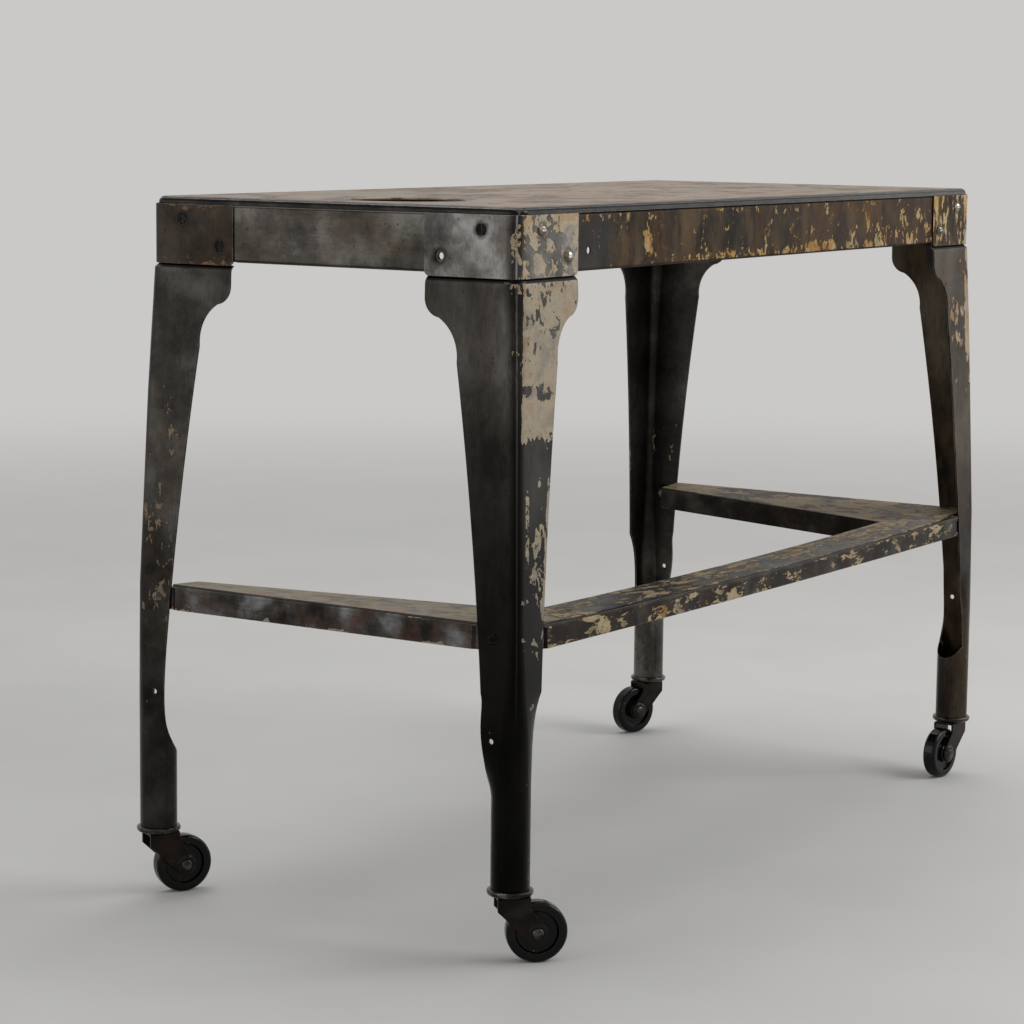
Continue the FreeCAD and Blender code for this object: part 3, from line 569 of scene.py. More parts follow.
@dataclass(frozen=True)
class AgedSteel:
    """Bare or chipped steel: the finish of every sheet, rail, leg and fitting."""

    name: str
    tone: SteelTone
    coat: PaintCoat = PaintCoat()
    brush: tuple[float, float, float] = (1.0, 1.0, 0.08)
    bevel: float = 0.0009
    washes: tuple[Wash, ...] = ()
    # Runs over the bare steel alone: painted shade and dark reflection on a leg and a plate, and
    # darker or lighter screws, with a painted highlight in the sunk heads' slots. The shade runs
    # and shaded facings paint shade, and in places light, over steel and paint alike.
    steel_shade_and_grime: tuple[Run, ...] = ()
    shade: tuple[Run, ...] = ()
    shaded: tuple[Facing, ...] = ()
    square_above: float = -1.0
    stains: tuple[tuple[float, float, float], ...] = ()

    def material(self) -> bpy.types.Material:
        """Build the finish.

        Returns:
            The material.
        """
        bench = Bench(self.name)
        rounded, edge = bench.edges(self.bevel)
        steel = self._steel_colour(bench, edge)
        # Runs over the bare steel: painted shade and reflection on some parts, darker or lighter
        # screws on others.
        for run in self.steel_shade_and_grime:
            steel = bench.blend(1.0, steel, run.read(bench), "MULTIPLY")
        fleck = bench.cloud(0.0016, 3.0, 0.6)
        patina = bench.cloud(0.03, 4.0, 0.6)
        paint, rim, under = self._paint_masks(bench, edge)
        colour = bench.blend(under, steel, self._under_colour(bench))
        colour = bench.tint(rim, colour, CHIP_RIM)
        colour = bench.blend(paint, colour, self._paint_colour(bench))
        colour = self._shade_and_stain(bench, colour)
        bare_gloss = bench.total(bench.scaled(patina, 0.30, self.tone.gloss - 0.15),
                                 bench.scaled(fleck, 0.14, -0.07))
        bare_gloss = bench.math("SUBTRACT", bare_gloss, bench.scaled(edge, 0.10))
        polish = bench.scaled(self._square(bench), TUBE_POLISH, -TUBE_POLISH)
        bare_gloss = bench.total(bare_gloss, polish)
        covered = bench.math("MAXIMUM", paint, bench.scaled(under, 0.8))
        gloss = bench.blend(covered, bare_gloss, bench.scaled(fleck, 0.25, 0.42))
        metal = bench.scaled(covered, -self.tone.metallic, self.tone.metallic)
        height = bench.total(bench.scaled(paint, 0.75), bench.scaled(fleck, 0.10),
                             bench.scaled(bench.cloud(0.009, 3.0, 0.5), 0.16))
        normal = bench.relief(height, RELIEF_DEPTH, RELIEF_STRENGTH, rounded)
        return bench.surface(Base_Color=colour, Metallic=metal, Roughness=gloss, Normal=normal,
                             Specular_IOR_Level=self.tone.specular)

    def _steel_colour(self, bench: Bench, edge: Socket) -> Socket:
        """Colour of the bare steel.

        Args:
            bench: The bench of the finish.
            edge: The mask of its edges.

        Returns:
            The colour.
        """
        tone = self.tone
        clouds = bench.cloud(tone.cloud_size, 2.0, 0.45, 0.1, tone.cloud_grain)
        brushed = bench.cloud(0.0019, 3.0, 0.55, 0.0, self.brush, (0.0, 2.0, 1.5))
        mottle = bench.cloud(0.010, 5.0, 0.62, 0.4, tone.cloud_grain)
        mix = bench.total(bench.scaled(clouds, 1.0), bench.scaled(brushed, 0.16, -0.08),
                          bench.scaled(mottle, 0.40, -0.20))
        steel = bench.tones(mix, (0.28, tone.dark), (0.50, tone.middle), (0.74, tone.light))
        rust_field = bench.total(bench.cloud(0.04, 5.0, 0.62, 0.3, tone.cloud_grain),
                                 bench.scaled(mottle, 0.4, -0.2))
        rust = bench.smooth(rust_field, 0.44, 0.66, 0.0, tone.rust_share)
        steel = bench.tint(rust, steel, tone.rust)
        pits = bench.smooth(bench.cloud(0.0035, 2.0, 0.5), 0.66, 0.74, 0.0, 0.6)
        steel = bench.tint(pits, steel, PIT_BROWN)
        # Painted dark reflection across each bend and painted highlight along its crest, both left
        # off a leg's tube.
        bend, crest = bench.bends()
        square = self._square(bench)
        bend = bench.product(square, bench.scaled(bend, tone.bend_reflection_share))
        crest = bench.product(square, bench.scaled(crest, tone.crest_highlight_share))
        steel = bench.tint(bend, steel, BEND_REFLECTION_DARK)
        steel = bench.tint(crest, steel, tone.edge)
        for wash in self.washes:
            steel = bench.blend(bench.product(wash.run.read(bench),
                                              bench.smooth(mottle, 0.30, 0.62, 0.5, 1.0)),
                                steel, linear(wash.colour))
        # Rubbed edges in the edge colour: partly wear, partly a painted highlight.
        worn = bench.product(edge, bench.smooth(mottle, 0.36, 0.60, 0.2,
                                                tone.edge_share))
        return bench.tint(worn, steel, tone.edge)

    def _square(self, bench: Bench) -> Socket:
        """Where the part is folded square and not rolled into a tube.

        Args:
            bench: The bench of the finish.

        Returns:
            1 above the tube, 0 on it.
        """
        below, above = SQUARE_EASE
        return bench.smooth(bench.along(Axis.Z), self.square_above + below,
                            self.square_above + above)

    def _paint_masks(self, bench: Bench, edge: Socket) -> tuple[Socket, Socket, Socket]:
        """Where paint is left, the dark line round it and the primer beside it.

        Args:
            bench: The bench of the finish.
            edge: The mask of the part's edges.

        Returns:
            The masks of the paint, of its dark rim and of the primer.
        """
        coat = self.coat
        left: Source = coat.stray
        for patch in coat.patches:
            left = bench.math("MAXIMUM", left, patch.read(bench))
        chips = bench.cloud(coat.chip_size, 4.0, 0.55, 0.6, coat.grain)
        flakes = bench.cloud(coat.chip_size * 0.28, 3.0, 0.6, 0.3, coat.grain)
        groups = bench.cloud(coat.chip_size * 3.6, 2.0, 0.5, 0.0, coat.grain)
        field_ = bench.total(bench.scaled(chips, 0.96), bench.scaled(flakes, 0.36),
                             bench.scaled(groups, 0.55))
        field_ = bench.math("SUBTRACT", field_, bench.scaled(edge, coat.edge_wear))
        level = bench.total(field_, bench.scaled(left, 0.62, -1.36))
        paint = bench.smooth(level, -0.004, 0.006)
        rim = bench.smooth(level, -0.040, -0.002, 0.0, 0.65)
        ragged = bench.total(level, bench.scaled(bench.cloud(0.005, 3.0, 0.6, 0.2,
                                                             coat.grain), 0.3, -0.15))
        under = bench.smooth(ragged, -coat.under_reach - 0.03, -coat.under_reach + 0.03, 0.0,
                             0.85 if coat.under_reach > 0.0 else 0.0)
        return paint, rim, under

    def _under_colour(self, bench: Bench) -> Socket:
        """Colour of the stained primer.

        Args:
            bench: The bench of the finish.

        Returns:
            The colour.
        """
        tones = bench.cloud(0.007, 4.0, 0.6, 0.3, self.coat.grain)
        dark = tuple(int(c * 0.52) for c in self.coat.under)
        return bench.tones(tones, (0.38, dark), (0.62, self.coat.under))

    def _paint_colour(self, bench: Bench) -> Socket:
        """Colour of the paint that is left.

        Args:
            bench: The bench of the finish.

        Returns:
            The colour.
        """
        coat = self.coat
        wash = bench.cloud(0.030, 4.0, 0.6, 0.4)
        colour = bench.tones(wash, (0.38, coat.grey), (0.50, coat.cream), (0.64, coat.tan))
        stain = bench.smooth(bench.cloud(0.008, 5.0, 0.65, 0.4), 0.54, 0.74, 0.0, 0.5)
        colour = bench.tint(stain, colour, PAINT_STAIN)
        specks = bench.smooth(bench.cloud(0.0026, 2.0, 0.5), 0.67, 0.72, 0.0, 0.8)
        return bench.tint(specks, colour, PAINT_SPECK)

    def _shade_and_stain(self, bench: Bench, colour: Socket) -> Socket:
        """Paint shade and light down the part and shade on its inner faces, and stain round the
        screws.

        Args:
            bench: The bench of the finish.
            colour: The clean colour.

        Returns:
            The colour with its painted shade and light and its stains.
        """
        # Runs of painted shade and light over steel and paint, then painted shade on inner faces.
        for run in self.shade:
            colour = bench.blend(1.0, colour, run.read(bench), "MULTIPLY")
        for facing in self.shaded:
            inside = bench.product(self._square(bench),
                                   bench.scaled(bench.faces(facing, *INSIDE_COSINES), INSIDE_SHARE))
            colour = bench.tint(inside, colour, INSIDE_PAINTED_SHADE)
        if self.stains:
            near: Source = 1.0
            for point in self.stains:
                near = bench.math("MINIMUM", near, bench.distance(point))
            near = bench.total(near, bench.scaled(bench.cloud(0.006, 3.0, 0.6), 0.006,
                                                  -0.003))
            ring = bench.smooth(near, 0.0098, 0.0062, 0.0, 0.7)
            colour = bench.tint(ring, colour, SCREW_STAIN)
        return colour


@dataclass(frozen=True)
class WornTop:
    """The table's top: faded tan paint rubbed through to brown primer and steel."""

    name: str
    low: Vector
    high: Vector
    hole: Vector
    hole_radius: float
    rim: float = 0.009

    def material(self) -> bpy.types.Material:
        """Build the finish.

        Returns:
            The material.
        """
        bench = Bench(self.name)
        rounded, edge = bench.edges(0.0009)
        field_ = self._wear(bench)
        fleck = bench.cloud(0.0018, 3.0, 0.6)
        mottle = bench.cloud(0.013, 5.0, 0.62, 0.5)
        wash = bench.cloud(0.09, 5.0, 0.6, 0.4, (0.6, 1.0, 1.0))
        paint = bench.tones(bench.total(wash, bench.scaled(mottle, 0.4, -0.2)),
                            (0.32, (118, 110, 100)), (0.46, (134, 122, 109)),
                            (0.58, (141, 119, 99)), (0.72, (122, 96, 74)))
        brown = bench.tones(mottle, (0.35, (76, 62, 48)), (0.65, (114, 90, 68)))
        steel = bench.tones(bench.total(bench.cloud(0.03, 4.0, 0.6, 0.2),
                                        bench.scaled(fleck, 0.2, -0.1)),
                            (0.34, (52, 50, 47)), (0.52, (84, 81, 77)), (0.72, (122, 120, 116)))
        rubbed = bench.smooth(field_, 0.46, 0.58)
        bare = bench.smooth(field_, 0.585, 0.62)
        colour = bench.blend(rubbed, paint, brown)
        colour = bench.blend(bare, colour, steel)
        pits = bench.smooth(bench.cloud(0.004, 2.0, 0.5), 0.66, 0.73, 0.0, 0.7)
        colour = bench.tint(pits, colour, TOP_PIT_BROWN)
        scratch = bench.math("MAXIMUM", self._scratches(bench, (0.05, 1.0, 1.0), 14.0),
                             self._scratches(bench, (1.0, 0.06, 1.0), -23.0))
        colour = bench.tint(bench.scaled(scratch, 0.5), colour, SCRATCH)
        # Painted shade on the rolled rim and every other face that doesn't look up.
        folded = bench.math("SUBTRACT", 1.0, bench.faces(Facing.UP))
        colour = bench.tint(bench.scaled(folded, 0.88), colour, RIM_PAINTED_SHADE)
        # Painted highlight along the rolled rim's crest.
        crest = bench.product(bench.bends()[1], 0.5)
        # Rubbed edges and the rim's crest: partly wear, partly a painted highlight.
        worn = bench.product(bench.math("MAXIMUM", edge, crest),
                             bench.smooth(mottle, 0.3, 0.6, 0.3, 0.9))
        colour = bench.tint(worn, colour, RUBBED_EDGE_HIGHLIGHT)
        metal = bench.math("MAXIMUM", bench.scaled(bare, 0.9), bench.scaled(worn, 0.9))
        gloss = bench.blend(bare, bench.scaled(mottle, 0.4, 0.38), bench.scaled(mottle, 0.4, 0.2))
        height = bench.total(bench.scaled(bare, -0.7), bench.scaled(fleck, 0.12),
                             bench.scaled(rubbed, -0.3))
        normal = bench.relief(height, RELIEF_DEPTH, RELIEF_STRENGTH, rounded)
        gloss = bench.math("SUBTRACT", gloss, bench.scaled(folded, 0.20))
        return bench.surface(Base_Color=colour, Metallic=metal, Roughness=gloss, Normal=normal,
                             Specular_IOR_Level=bench.scaled(folded, -0.30, 0.5))

    def _wear(self, bench: Bench) -> Socket:
        """How far the paint is worn: most at the rim and round the hole.

        Args:
            bench: The bench of the finish.

        Returns:
            The wear, with bare steel above about 0.6.
        """
        wear = bench.total(bench.cloud(0.035, 7.0, 0.66, 0.5, (0.7, 1.0, 1.0)),
                           bench.scaled(bench.cloud(0.16, 3.0, 0.5), 0.35, -0.19))
        middle = (self.low + self.high) / 2
        half = (self.high - self.low) / 2
        for axis in (Axis.X, Axis.Y):
            off = bench.math("ABSOLUTE", bench.scaled(bench.along(axis), 1.0,
                                                      -middle[axis.value]))
            out = half[axis.value]
            wear = bench.total(wear, bench.smooth(off, out - self.rim * 1.5,
                                                  out - self.rim * 0.5, 0.0, 0.26))
        side = bench.math("SUBTRACT", 1.0, bench.faces(Facing.UP))
        wear = bench.total(wear, bench.scaled(side, 0.22))
        near = bench.smooth(bench.distance(tuple(self.hole)), self.hole_radius + 0.016,
                            self.hole_radius + 0.001, 0.0, 0.14)
        return bench.total(wear, near)

    def _scratches(self, bench: Bench, grain: tuple[float, float, float], turn: float) -> Socket:
        """Thin scratches along one direction.

        Args:
            bench: The bench of the finish.
            grain: The draw of the noise along each axis.
            turn: Their slant, in degrees.

        Returns:
            Their mask.
        """
        lines = bench.cloud(0.0030, 1.0, 0.4, 0.0, grain, (0.0, 0.0, turn))
        where = bench.smooth(bench.cloud(0.06, 2.0, 0.5), 0.52, 0.62)
        return bench.product(bench.smooth(lines, 0.70, 0.73), where)


@dataclass(frozen=True)
class BlackWheel:
    """Hard glossy black wheel with a little dust in its dish and small chips."""

    name: str
    bevel: float = 0.0006

    def material(self) -> bpy.types.Material:
        """Build the finish.

        Returns:
            The material.
        """
        bench = Bench(self.name)
        rounded, edge = bench.edges(self.bevel)
        dust = bench.cloud(0.011, 5.0, 0.6, 0.4)
        fleck = bench.cloud(0.0012, 3.0, 0.6)
        colour = bench.tones(dust, (0.35, (6, 5, 5)), (0.60, (11, 10, 9)), (0.80, (27, 24, 20)))
        spots = bench.smooth(bench.cloud(0.004, 3.0, 0.55), 0.70, 0.73, 0.0, 0.9)
        colour = bench.tint(spots, colour, DUST)
        colour = bench.tint(bench.scaled(edge, 0.3), colour, WORN_RUBBER)
        gloss = bench.total(bench.scaled(dust, 0.22, 0.0), bench.scaled(fleck, 0.03))
        normal = bench.relief(bench.total(fleck, dust), 0.00015, 0.3, rounded)
        return bench.surface(Base_Color=colour, Roughness=gloss, Normal=normal,
                             Specular_IOR_Level=0.2)


@dataclass(frozen=True)
class PaleFloor:
    """Plain pale studio floor that runs out into the background."""

    name: str
    tone: Colour
    background: Colour
    near: float = 1.3
    far: float = 4.5

    def material(self) -> bpy.types.Material:
        """Build the finish.

        Returns:
            The material.
        """
        bench = Bench(self.name)
        low = tuple(c - 2 for c in self.tone)
        high = tuple(c + 2 for c in self.tone)
        colour = bench.tones(bench.cloud(0.25, 3.0, 0.5), (0.35, low), (0.65, high))
        bench.surface(Base_Color=colour, Roughness=0.7)
        tree = bench.tree
        floor = next(node for node in tree.nodes if node.type == "BSDF_PRINCIPLED")
        output = next(node for node in tree.nodes if node.type == "OUTPUT_MATERIAL")
        path = tree.nodes.new("ShaderNodeLightPath")
        seen = bench.math("MAXIMUM", path.outputs["Is Camera Ray"], path.outputs["Is Glossy Ray"])
        seen = bench.math("MAXIMUM", seen, path.outputs["Is Transmission Ray"])
        away = bench.smooth(bench.distance((0.0, 0.0, 0.0)), self.near, self.far)
        glow = tree.nodes.new("ShaderNodeEmission")
        glow.inputs["Color"].default_value = linear(self.background)
        mix = tree.nodes.new("ShaderNodeMixShader")
        bench.feed(mix.inputs[0], bench.product(seen, away))
        tree.links.new(floor.outputs[0], mix.inputs[1])
        tree.links.new(glow.outputs[0], mix.inputs[2])
        tree.links.new(mix.outputs[0], output.inputs[0])
        return bench.material


# ---------------------------------------------------------------- shaping
class Blank:
    """A piece in the making: a bmesh that becomes an object at the origin."""

    def __init__(self, name: str) -> None:
        """Start an empty piece.

        Args:
            name: The object's name.
        """
        self.name = name
        self.mesh = bmesh.new()

    def lathe(self, profile: list[tuple[float, float]], steps: int) -> None:
        """Spin a profile of radius and height about Z.

        Args:
            profile: Pairs of a radius and a height, in metres.
            steps: How many steps make the full turn.
        """
        points = [self.mesh.verts.new((radius, 0.0, height)) for radius, height in profile]
        edges = [self.mesh.edges.new(pair) for pair in zip(points, points[1:] + points[:1])]
        bmesh.ops.spin(self.mesh, geom=points + edges, cent=(0, 0, 0), axis=(0, 0, 1),
                       dvec=(0, 0, 0), angle=math.tau, steps=steps, use_merge=True,
                       use_normal_flip=False, use_duplicate=False)
        bmesh.ops.remove_doubles(self.mesh, verts=self.mesh.verts, dist=1e-6)
        bmesh.ops.recalc_face_normals(self.mesh, faces=self.mesh.faces)

    def put(self, placement: Matrix) -> None:
        """Move the whole piece.

        Args:
            placement: Where its origin and axes go.
        """
        bmesh.ops.transform(self.mesh, matrix=placement, verts=self.mesh.verts)

    def finish(self, material: bpy.types.Material, smooth: float = 35.0) -> bpy.types.Object:
        """Make the object.

        Args:
            material: Its finish.
            smooth: The angle in degrees below which its faces shade as one.

        Returns:
            The object, at the origin.
        """
        data = bpy.data.meshes.new(self.name)
        limit = math.radians(smooth)
        for face in self.mesh.faces:
            face.smooth = True
        for edge in self.mesh.edges:
            edge.smooth = edge.is_manifold and edge.calc_face_angle(math.pi) < limit
        self.mesh.to_mesh(data)
        self.mesh.free()
        data.materials.append(material)
        piece = bpy.data.objects.new(self.name, data)
        bpy.context.scene.collection.objects.link(piece)
        return piece


def dress(nodes: dict[str, bpy.types.Object], name: str, material: bpy.types.Material) -> None:
    """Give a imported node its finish.

    Args:
        nodes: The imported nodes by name.
        name: The node's name.
        material: Its finish.
    """
    data = nodes[name].data
    data.materials.clear()
    data.materials.append(material)
    log.info("dressed %s in %s", name, material.name)


Nodes = "dict[str, bpy.types.Object]"


# ---------------------------------------------------------------- the table's sub-assemblies
@dataclass
class TableTop:
    """The folded top sheet with its large cord hole."""

    nodes: Nodes
    hole_radius: float = 0.057
    hole_centre: tuple[float, float] = (-0.356, -0.0023)
    lip_height: float = 0.0011

    def build(self) -> None:
        """Dress the sheet and roll the worn lip of its hole."""
        low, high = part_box("top_sheet")
        centre = Vector((self.hole_centre[0], self.hole_centre[1], high.z))
        finish = WornTop("worn top paint", low, high, centre, self.hole_radius)
        dress(self.nodes, "top_sheet", finish.material())
        lip_tone = SteelTone((96, 84, 62), (150, 132, 98), (196, 180, 146), rust=(120, 92, 58),
                             cloud_size=0.02, metallic=0.3, bend_reflection_share=0.0, crest_highlight_share=0.0)
        self._roll_lip(centre, AgedSteel("cord hole lip", lip_tone).material())

    def _roll_lip(self, centre: Vector, material: bpy.types.Material) -> None:
        """Roll the thin lip just inside the hole.

        Args:
            centre: The hole's centre on the top's face.
            material: The lip's finish.
        """
        radius, deep = self.hole_radius, self.lip_height
        blank = Blank("cord_hole_lip")
        blank.lathe([(radius + 0.0004, 0.0), (radius - 0.0002, -0.0001),
                     (radius - 0.0006, -deep * 0.4), (radius - 0.0006, -deep),
                     (radius - 0.0002, -0.0017), (radius + 0.0004, -0.0018)], 96)
        blank.put(Matrix.Translation(centre))
        lip = blank.finish(material)
        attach(lip, "frame")
        log.info("rolled %s", lip.name)


@dataclass
class ApronRing:
    """The four channels under the top, seen between the corner plates."""

    nodes: Nodes

    def build(self) -> None:
        """Dress the four channels."""
        low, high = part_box("apron_front")
        for side, finish in self._finishes(low.z, high.z).items():
            dress(self.nodes, "apron_" + side, finish.material())

    def _finishes(self, foot: float, top: float) -> dict[str, AgedSteel]:
        """The finish of each channel.

        Args:
            foot: The height of the channels' lower edge.
            top: The height of their upper edge.

        Returns:
            The finishes by side.
        """
        streaks = (1.0, 1.0, 0.72)
        length_run = Run(Axis.X, ((-0.46, 0.0), (-0.345, 0.1), (-0.335, 0.85), (-0.27, 0.7),
                                  (-0.235, 1.3), (-0.21, 0.8), (0.0, 0.9), (0.20, 1.0),
                                  (0.38, 1.1), (0.44, 1.4)))
        low_run = Run(Axis.Z, ((foot, 1.0), (foot + 0.006, 0.95), (foot + 0.014, 0.55),
                               (foot + 0.022, 0.0)))
        low_right = Run(Axis.X, ((-0.33, 0.35), (-0.18, 0.8), (-0.02, 0.95), (0.10, 1.0),
                                 (0.25, 0.85), (0.44, 0.85)))
        high_run = Run(Axis.Z, ((top - 0.018, 0.0), (top - 0.010, 0.9), (top, 1.0)))
        high_middle = Run(Axis.X, ((-0.35, 0.75), (-0.28, 0.9), (-0.2, 0.6), (-0.04, 0.95),
                                   (0.04, 0.95), (0.15, 0.6), (0.38, 0.7), (0.44, 0.95)))
        front = PaintCoat((Patch(Facing.FRONT, 0.47, (length_run,)),
                           Patch(Facing.FRONT, 0.74, (low_run, low_right)),
                           Patch(Facing.FRONT, 0.62, (high_run, high_middle))),
                          cream=(172, 148, 104), tan=(150, 110, 56), grey=(138, 122, 94),
                          under=(96, 68, 36), under_reach=0.06,
                          chip_size=0.0078, grain=streaks, stray=0.10)
        cool = Wash((44, 46, 48), Run(Axis.X, ((-0.36, 0.8), (-0.32, 0.75), (-0.29, 0.0))))
        warm = Wash((70, 46, 32), Run(Axis.X, ((-0.05, 0.0), (0.15, 0.35), (0.44, 0.55))))
        back = PaintCoat((Patch(Facing.BACK, 0.46),), cream=(176, 154, 114),
                         tan=(152, 116, 66), under=(92, 66, 38), under_reach=0.08,
                         chip_size=0.012, grain=streaks)
        right = PaintCoat((Patch(Facing.RIGHT, 0.42),), chip_size=0.014, under_reach=0.05,
                          grain=streaks)
        ends = Run(Axis.Y, ((-0.105, 1.0), (-0.085, 0.5), (0.0, 0.3), (0.098, 0.5), (0.12, 1.0)))
        border = Run(Axis.Z, ((foot, 1.0), (foot + 0.004, 0.7), (foot + 0.010, 0.0),
                              (top - 0.010, 0.0), (top - 0.003, 0.8), (top, 1.0)))
        left = PaintCoat((Patch(Facing.LEFT, 0.46, (ends, border)),), cream=(112, 98, 76),
                         tan=(98, 80, 56), grey=(92, 82, 68), chip_size=0.008, stray=0.04)
        return {
            "front": AgedSteel("front apron steel", BROWNED, front, bevel=0.0007,
                               washes=(cool, warm)),
            "back": AgedSteel("back apron steel", BROWNED, back, washes=(warm,)),
            "right": AgedSteel("right apron steel", GUNMETAL, right, (1.0, 0.08, 1.0)),
            "left": AgedSteel("left apron steel", GUNMETAL, left, (1.0, 0.12, 1.0)),
        }


@dataclass
class CornerPlates:
    """The bent plates that cover the corners."""

    nodes: Nodes

    def build(self) -> None:
        """Dress the four plates."""
        low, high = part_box("corner_plate_front_left")
        for corner, finish in self._finishes(low.z, high.z).items():
            dress(self.nodes, "corner_plate_" + corner.word, finish.material())

    def _finishes(self, foot: float, top: float) -> dict[Corner, AgedSteel]:
        """The finish of each plate.

        Args:
            foot: The height of the plates' lower edge.
            top: The height of their upper edge.

        Returns:
            The finishes by corner.
        """
        brown_plate = SteelTone((25, 22, 19), (42, 38, 32), (64, 58, 50), rust=(66, 44, 31),
                                rust_share=0.4, gloss=0.46, metallic=0.7, specular=0.2)
        bright_plate = SteelTone((46, 44, 42), (92, 90, 87), (146, 145, 143),
                                 rust=(74, 58, 44), rust_share=0.25, cloud_size=0.045,
                                 edge=(176, 176, 178), crest_highlight_share=0.6)
        streaky = (1.0, 1.0, 0.35)
        border = Run(Axis.Z, ((foot, 1.0), (foot + 0.005, 0.75), (foot + 0.013, 0.25),
                              (top - 0.016, 0.25), (top - 0.006, 0.75), (top, 1.0)))
        # Painted dark reflection on the front left plate's steel in and just behind its bend,
        # darker again toward its far edge.
        dark_reflection_by_bend = Run(Axis.Y, ((-0.2305, 1.0), (-0.229, 0.9), (-0.2265, 0.28), (-0.219, 0.30),
                               (-0.205, 0.75), (-0.190, 1.0), (-0.13, 1.0), (-0.112, 0.6)))
        return {
            Corner.FRONT_LEFT: AgedSteel(
                "front left plate steel", bright_plate,
                PaintCoat((Patch(Facing.FRONT, 0.75), Patch(Facing.FRONT_LEFT, 0.60)),
                          cream=(170, 154, 126), tan=(160, 134, 98), grey=(144, 133, 118),
                          chip_size=0.013, grain=(1, 1, 0.9), stray=0.22),
                (1.0, 1.0, 0.30), steel_shade_and_grime=(dark_reflection_by_bend,), stains=Corner.FRONT_LEFT.screws()),
            Corner.FRONT_RIGHT: AgedSteel(
                "front right plate steel", BROWNED,
                PaintCoat((Patch(Facing.FRONT, 0.66),), cream=(176, 152, 112),
                          tan=(156, 122, 74), under=(92, 68, 42), under_reach=0.06,
                          chip_size=0.010, grain=streaky), stains=Corner.FRONT_RIGHT.screws()),
            Corner.BACK_RIGHT: AgedSteel(
                "back right plate steel", BLACKENED,
                PaintCoat((Patch(Facing.RIGHT, 0.50), Patch(Facing.BACK, 0.62)),
                          under_reach=0.05, chip_size=0.015, grain=streaky),
                stains=Corner.BACK_RIGHT.screws()),
            Corner.BACK_LEFT: AgedSteel(
                "back left plate steel", brown_plate,
                PaintCoat((Patch(Facing.LEFT, 0.62, (border,)), Patch(Facing.BACK, 0.62)),
                          cream=(120, 98, 70), tan=(108, 80, 50), grey=(94, 80, 62),
                          under=(78, 54, 36), under_reach=0.05, chip_size=0.007,
                          grain=(1, 0.6, 1), stray=0.04),
                stains=Corner.BACK_LEFT.screws()),
        }


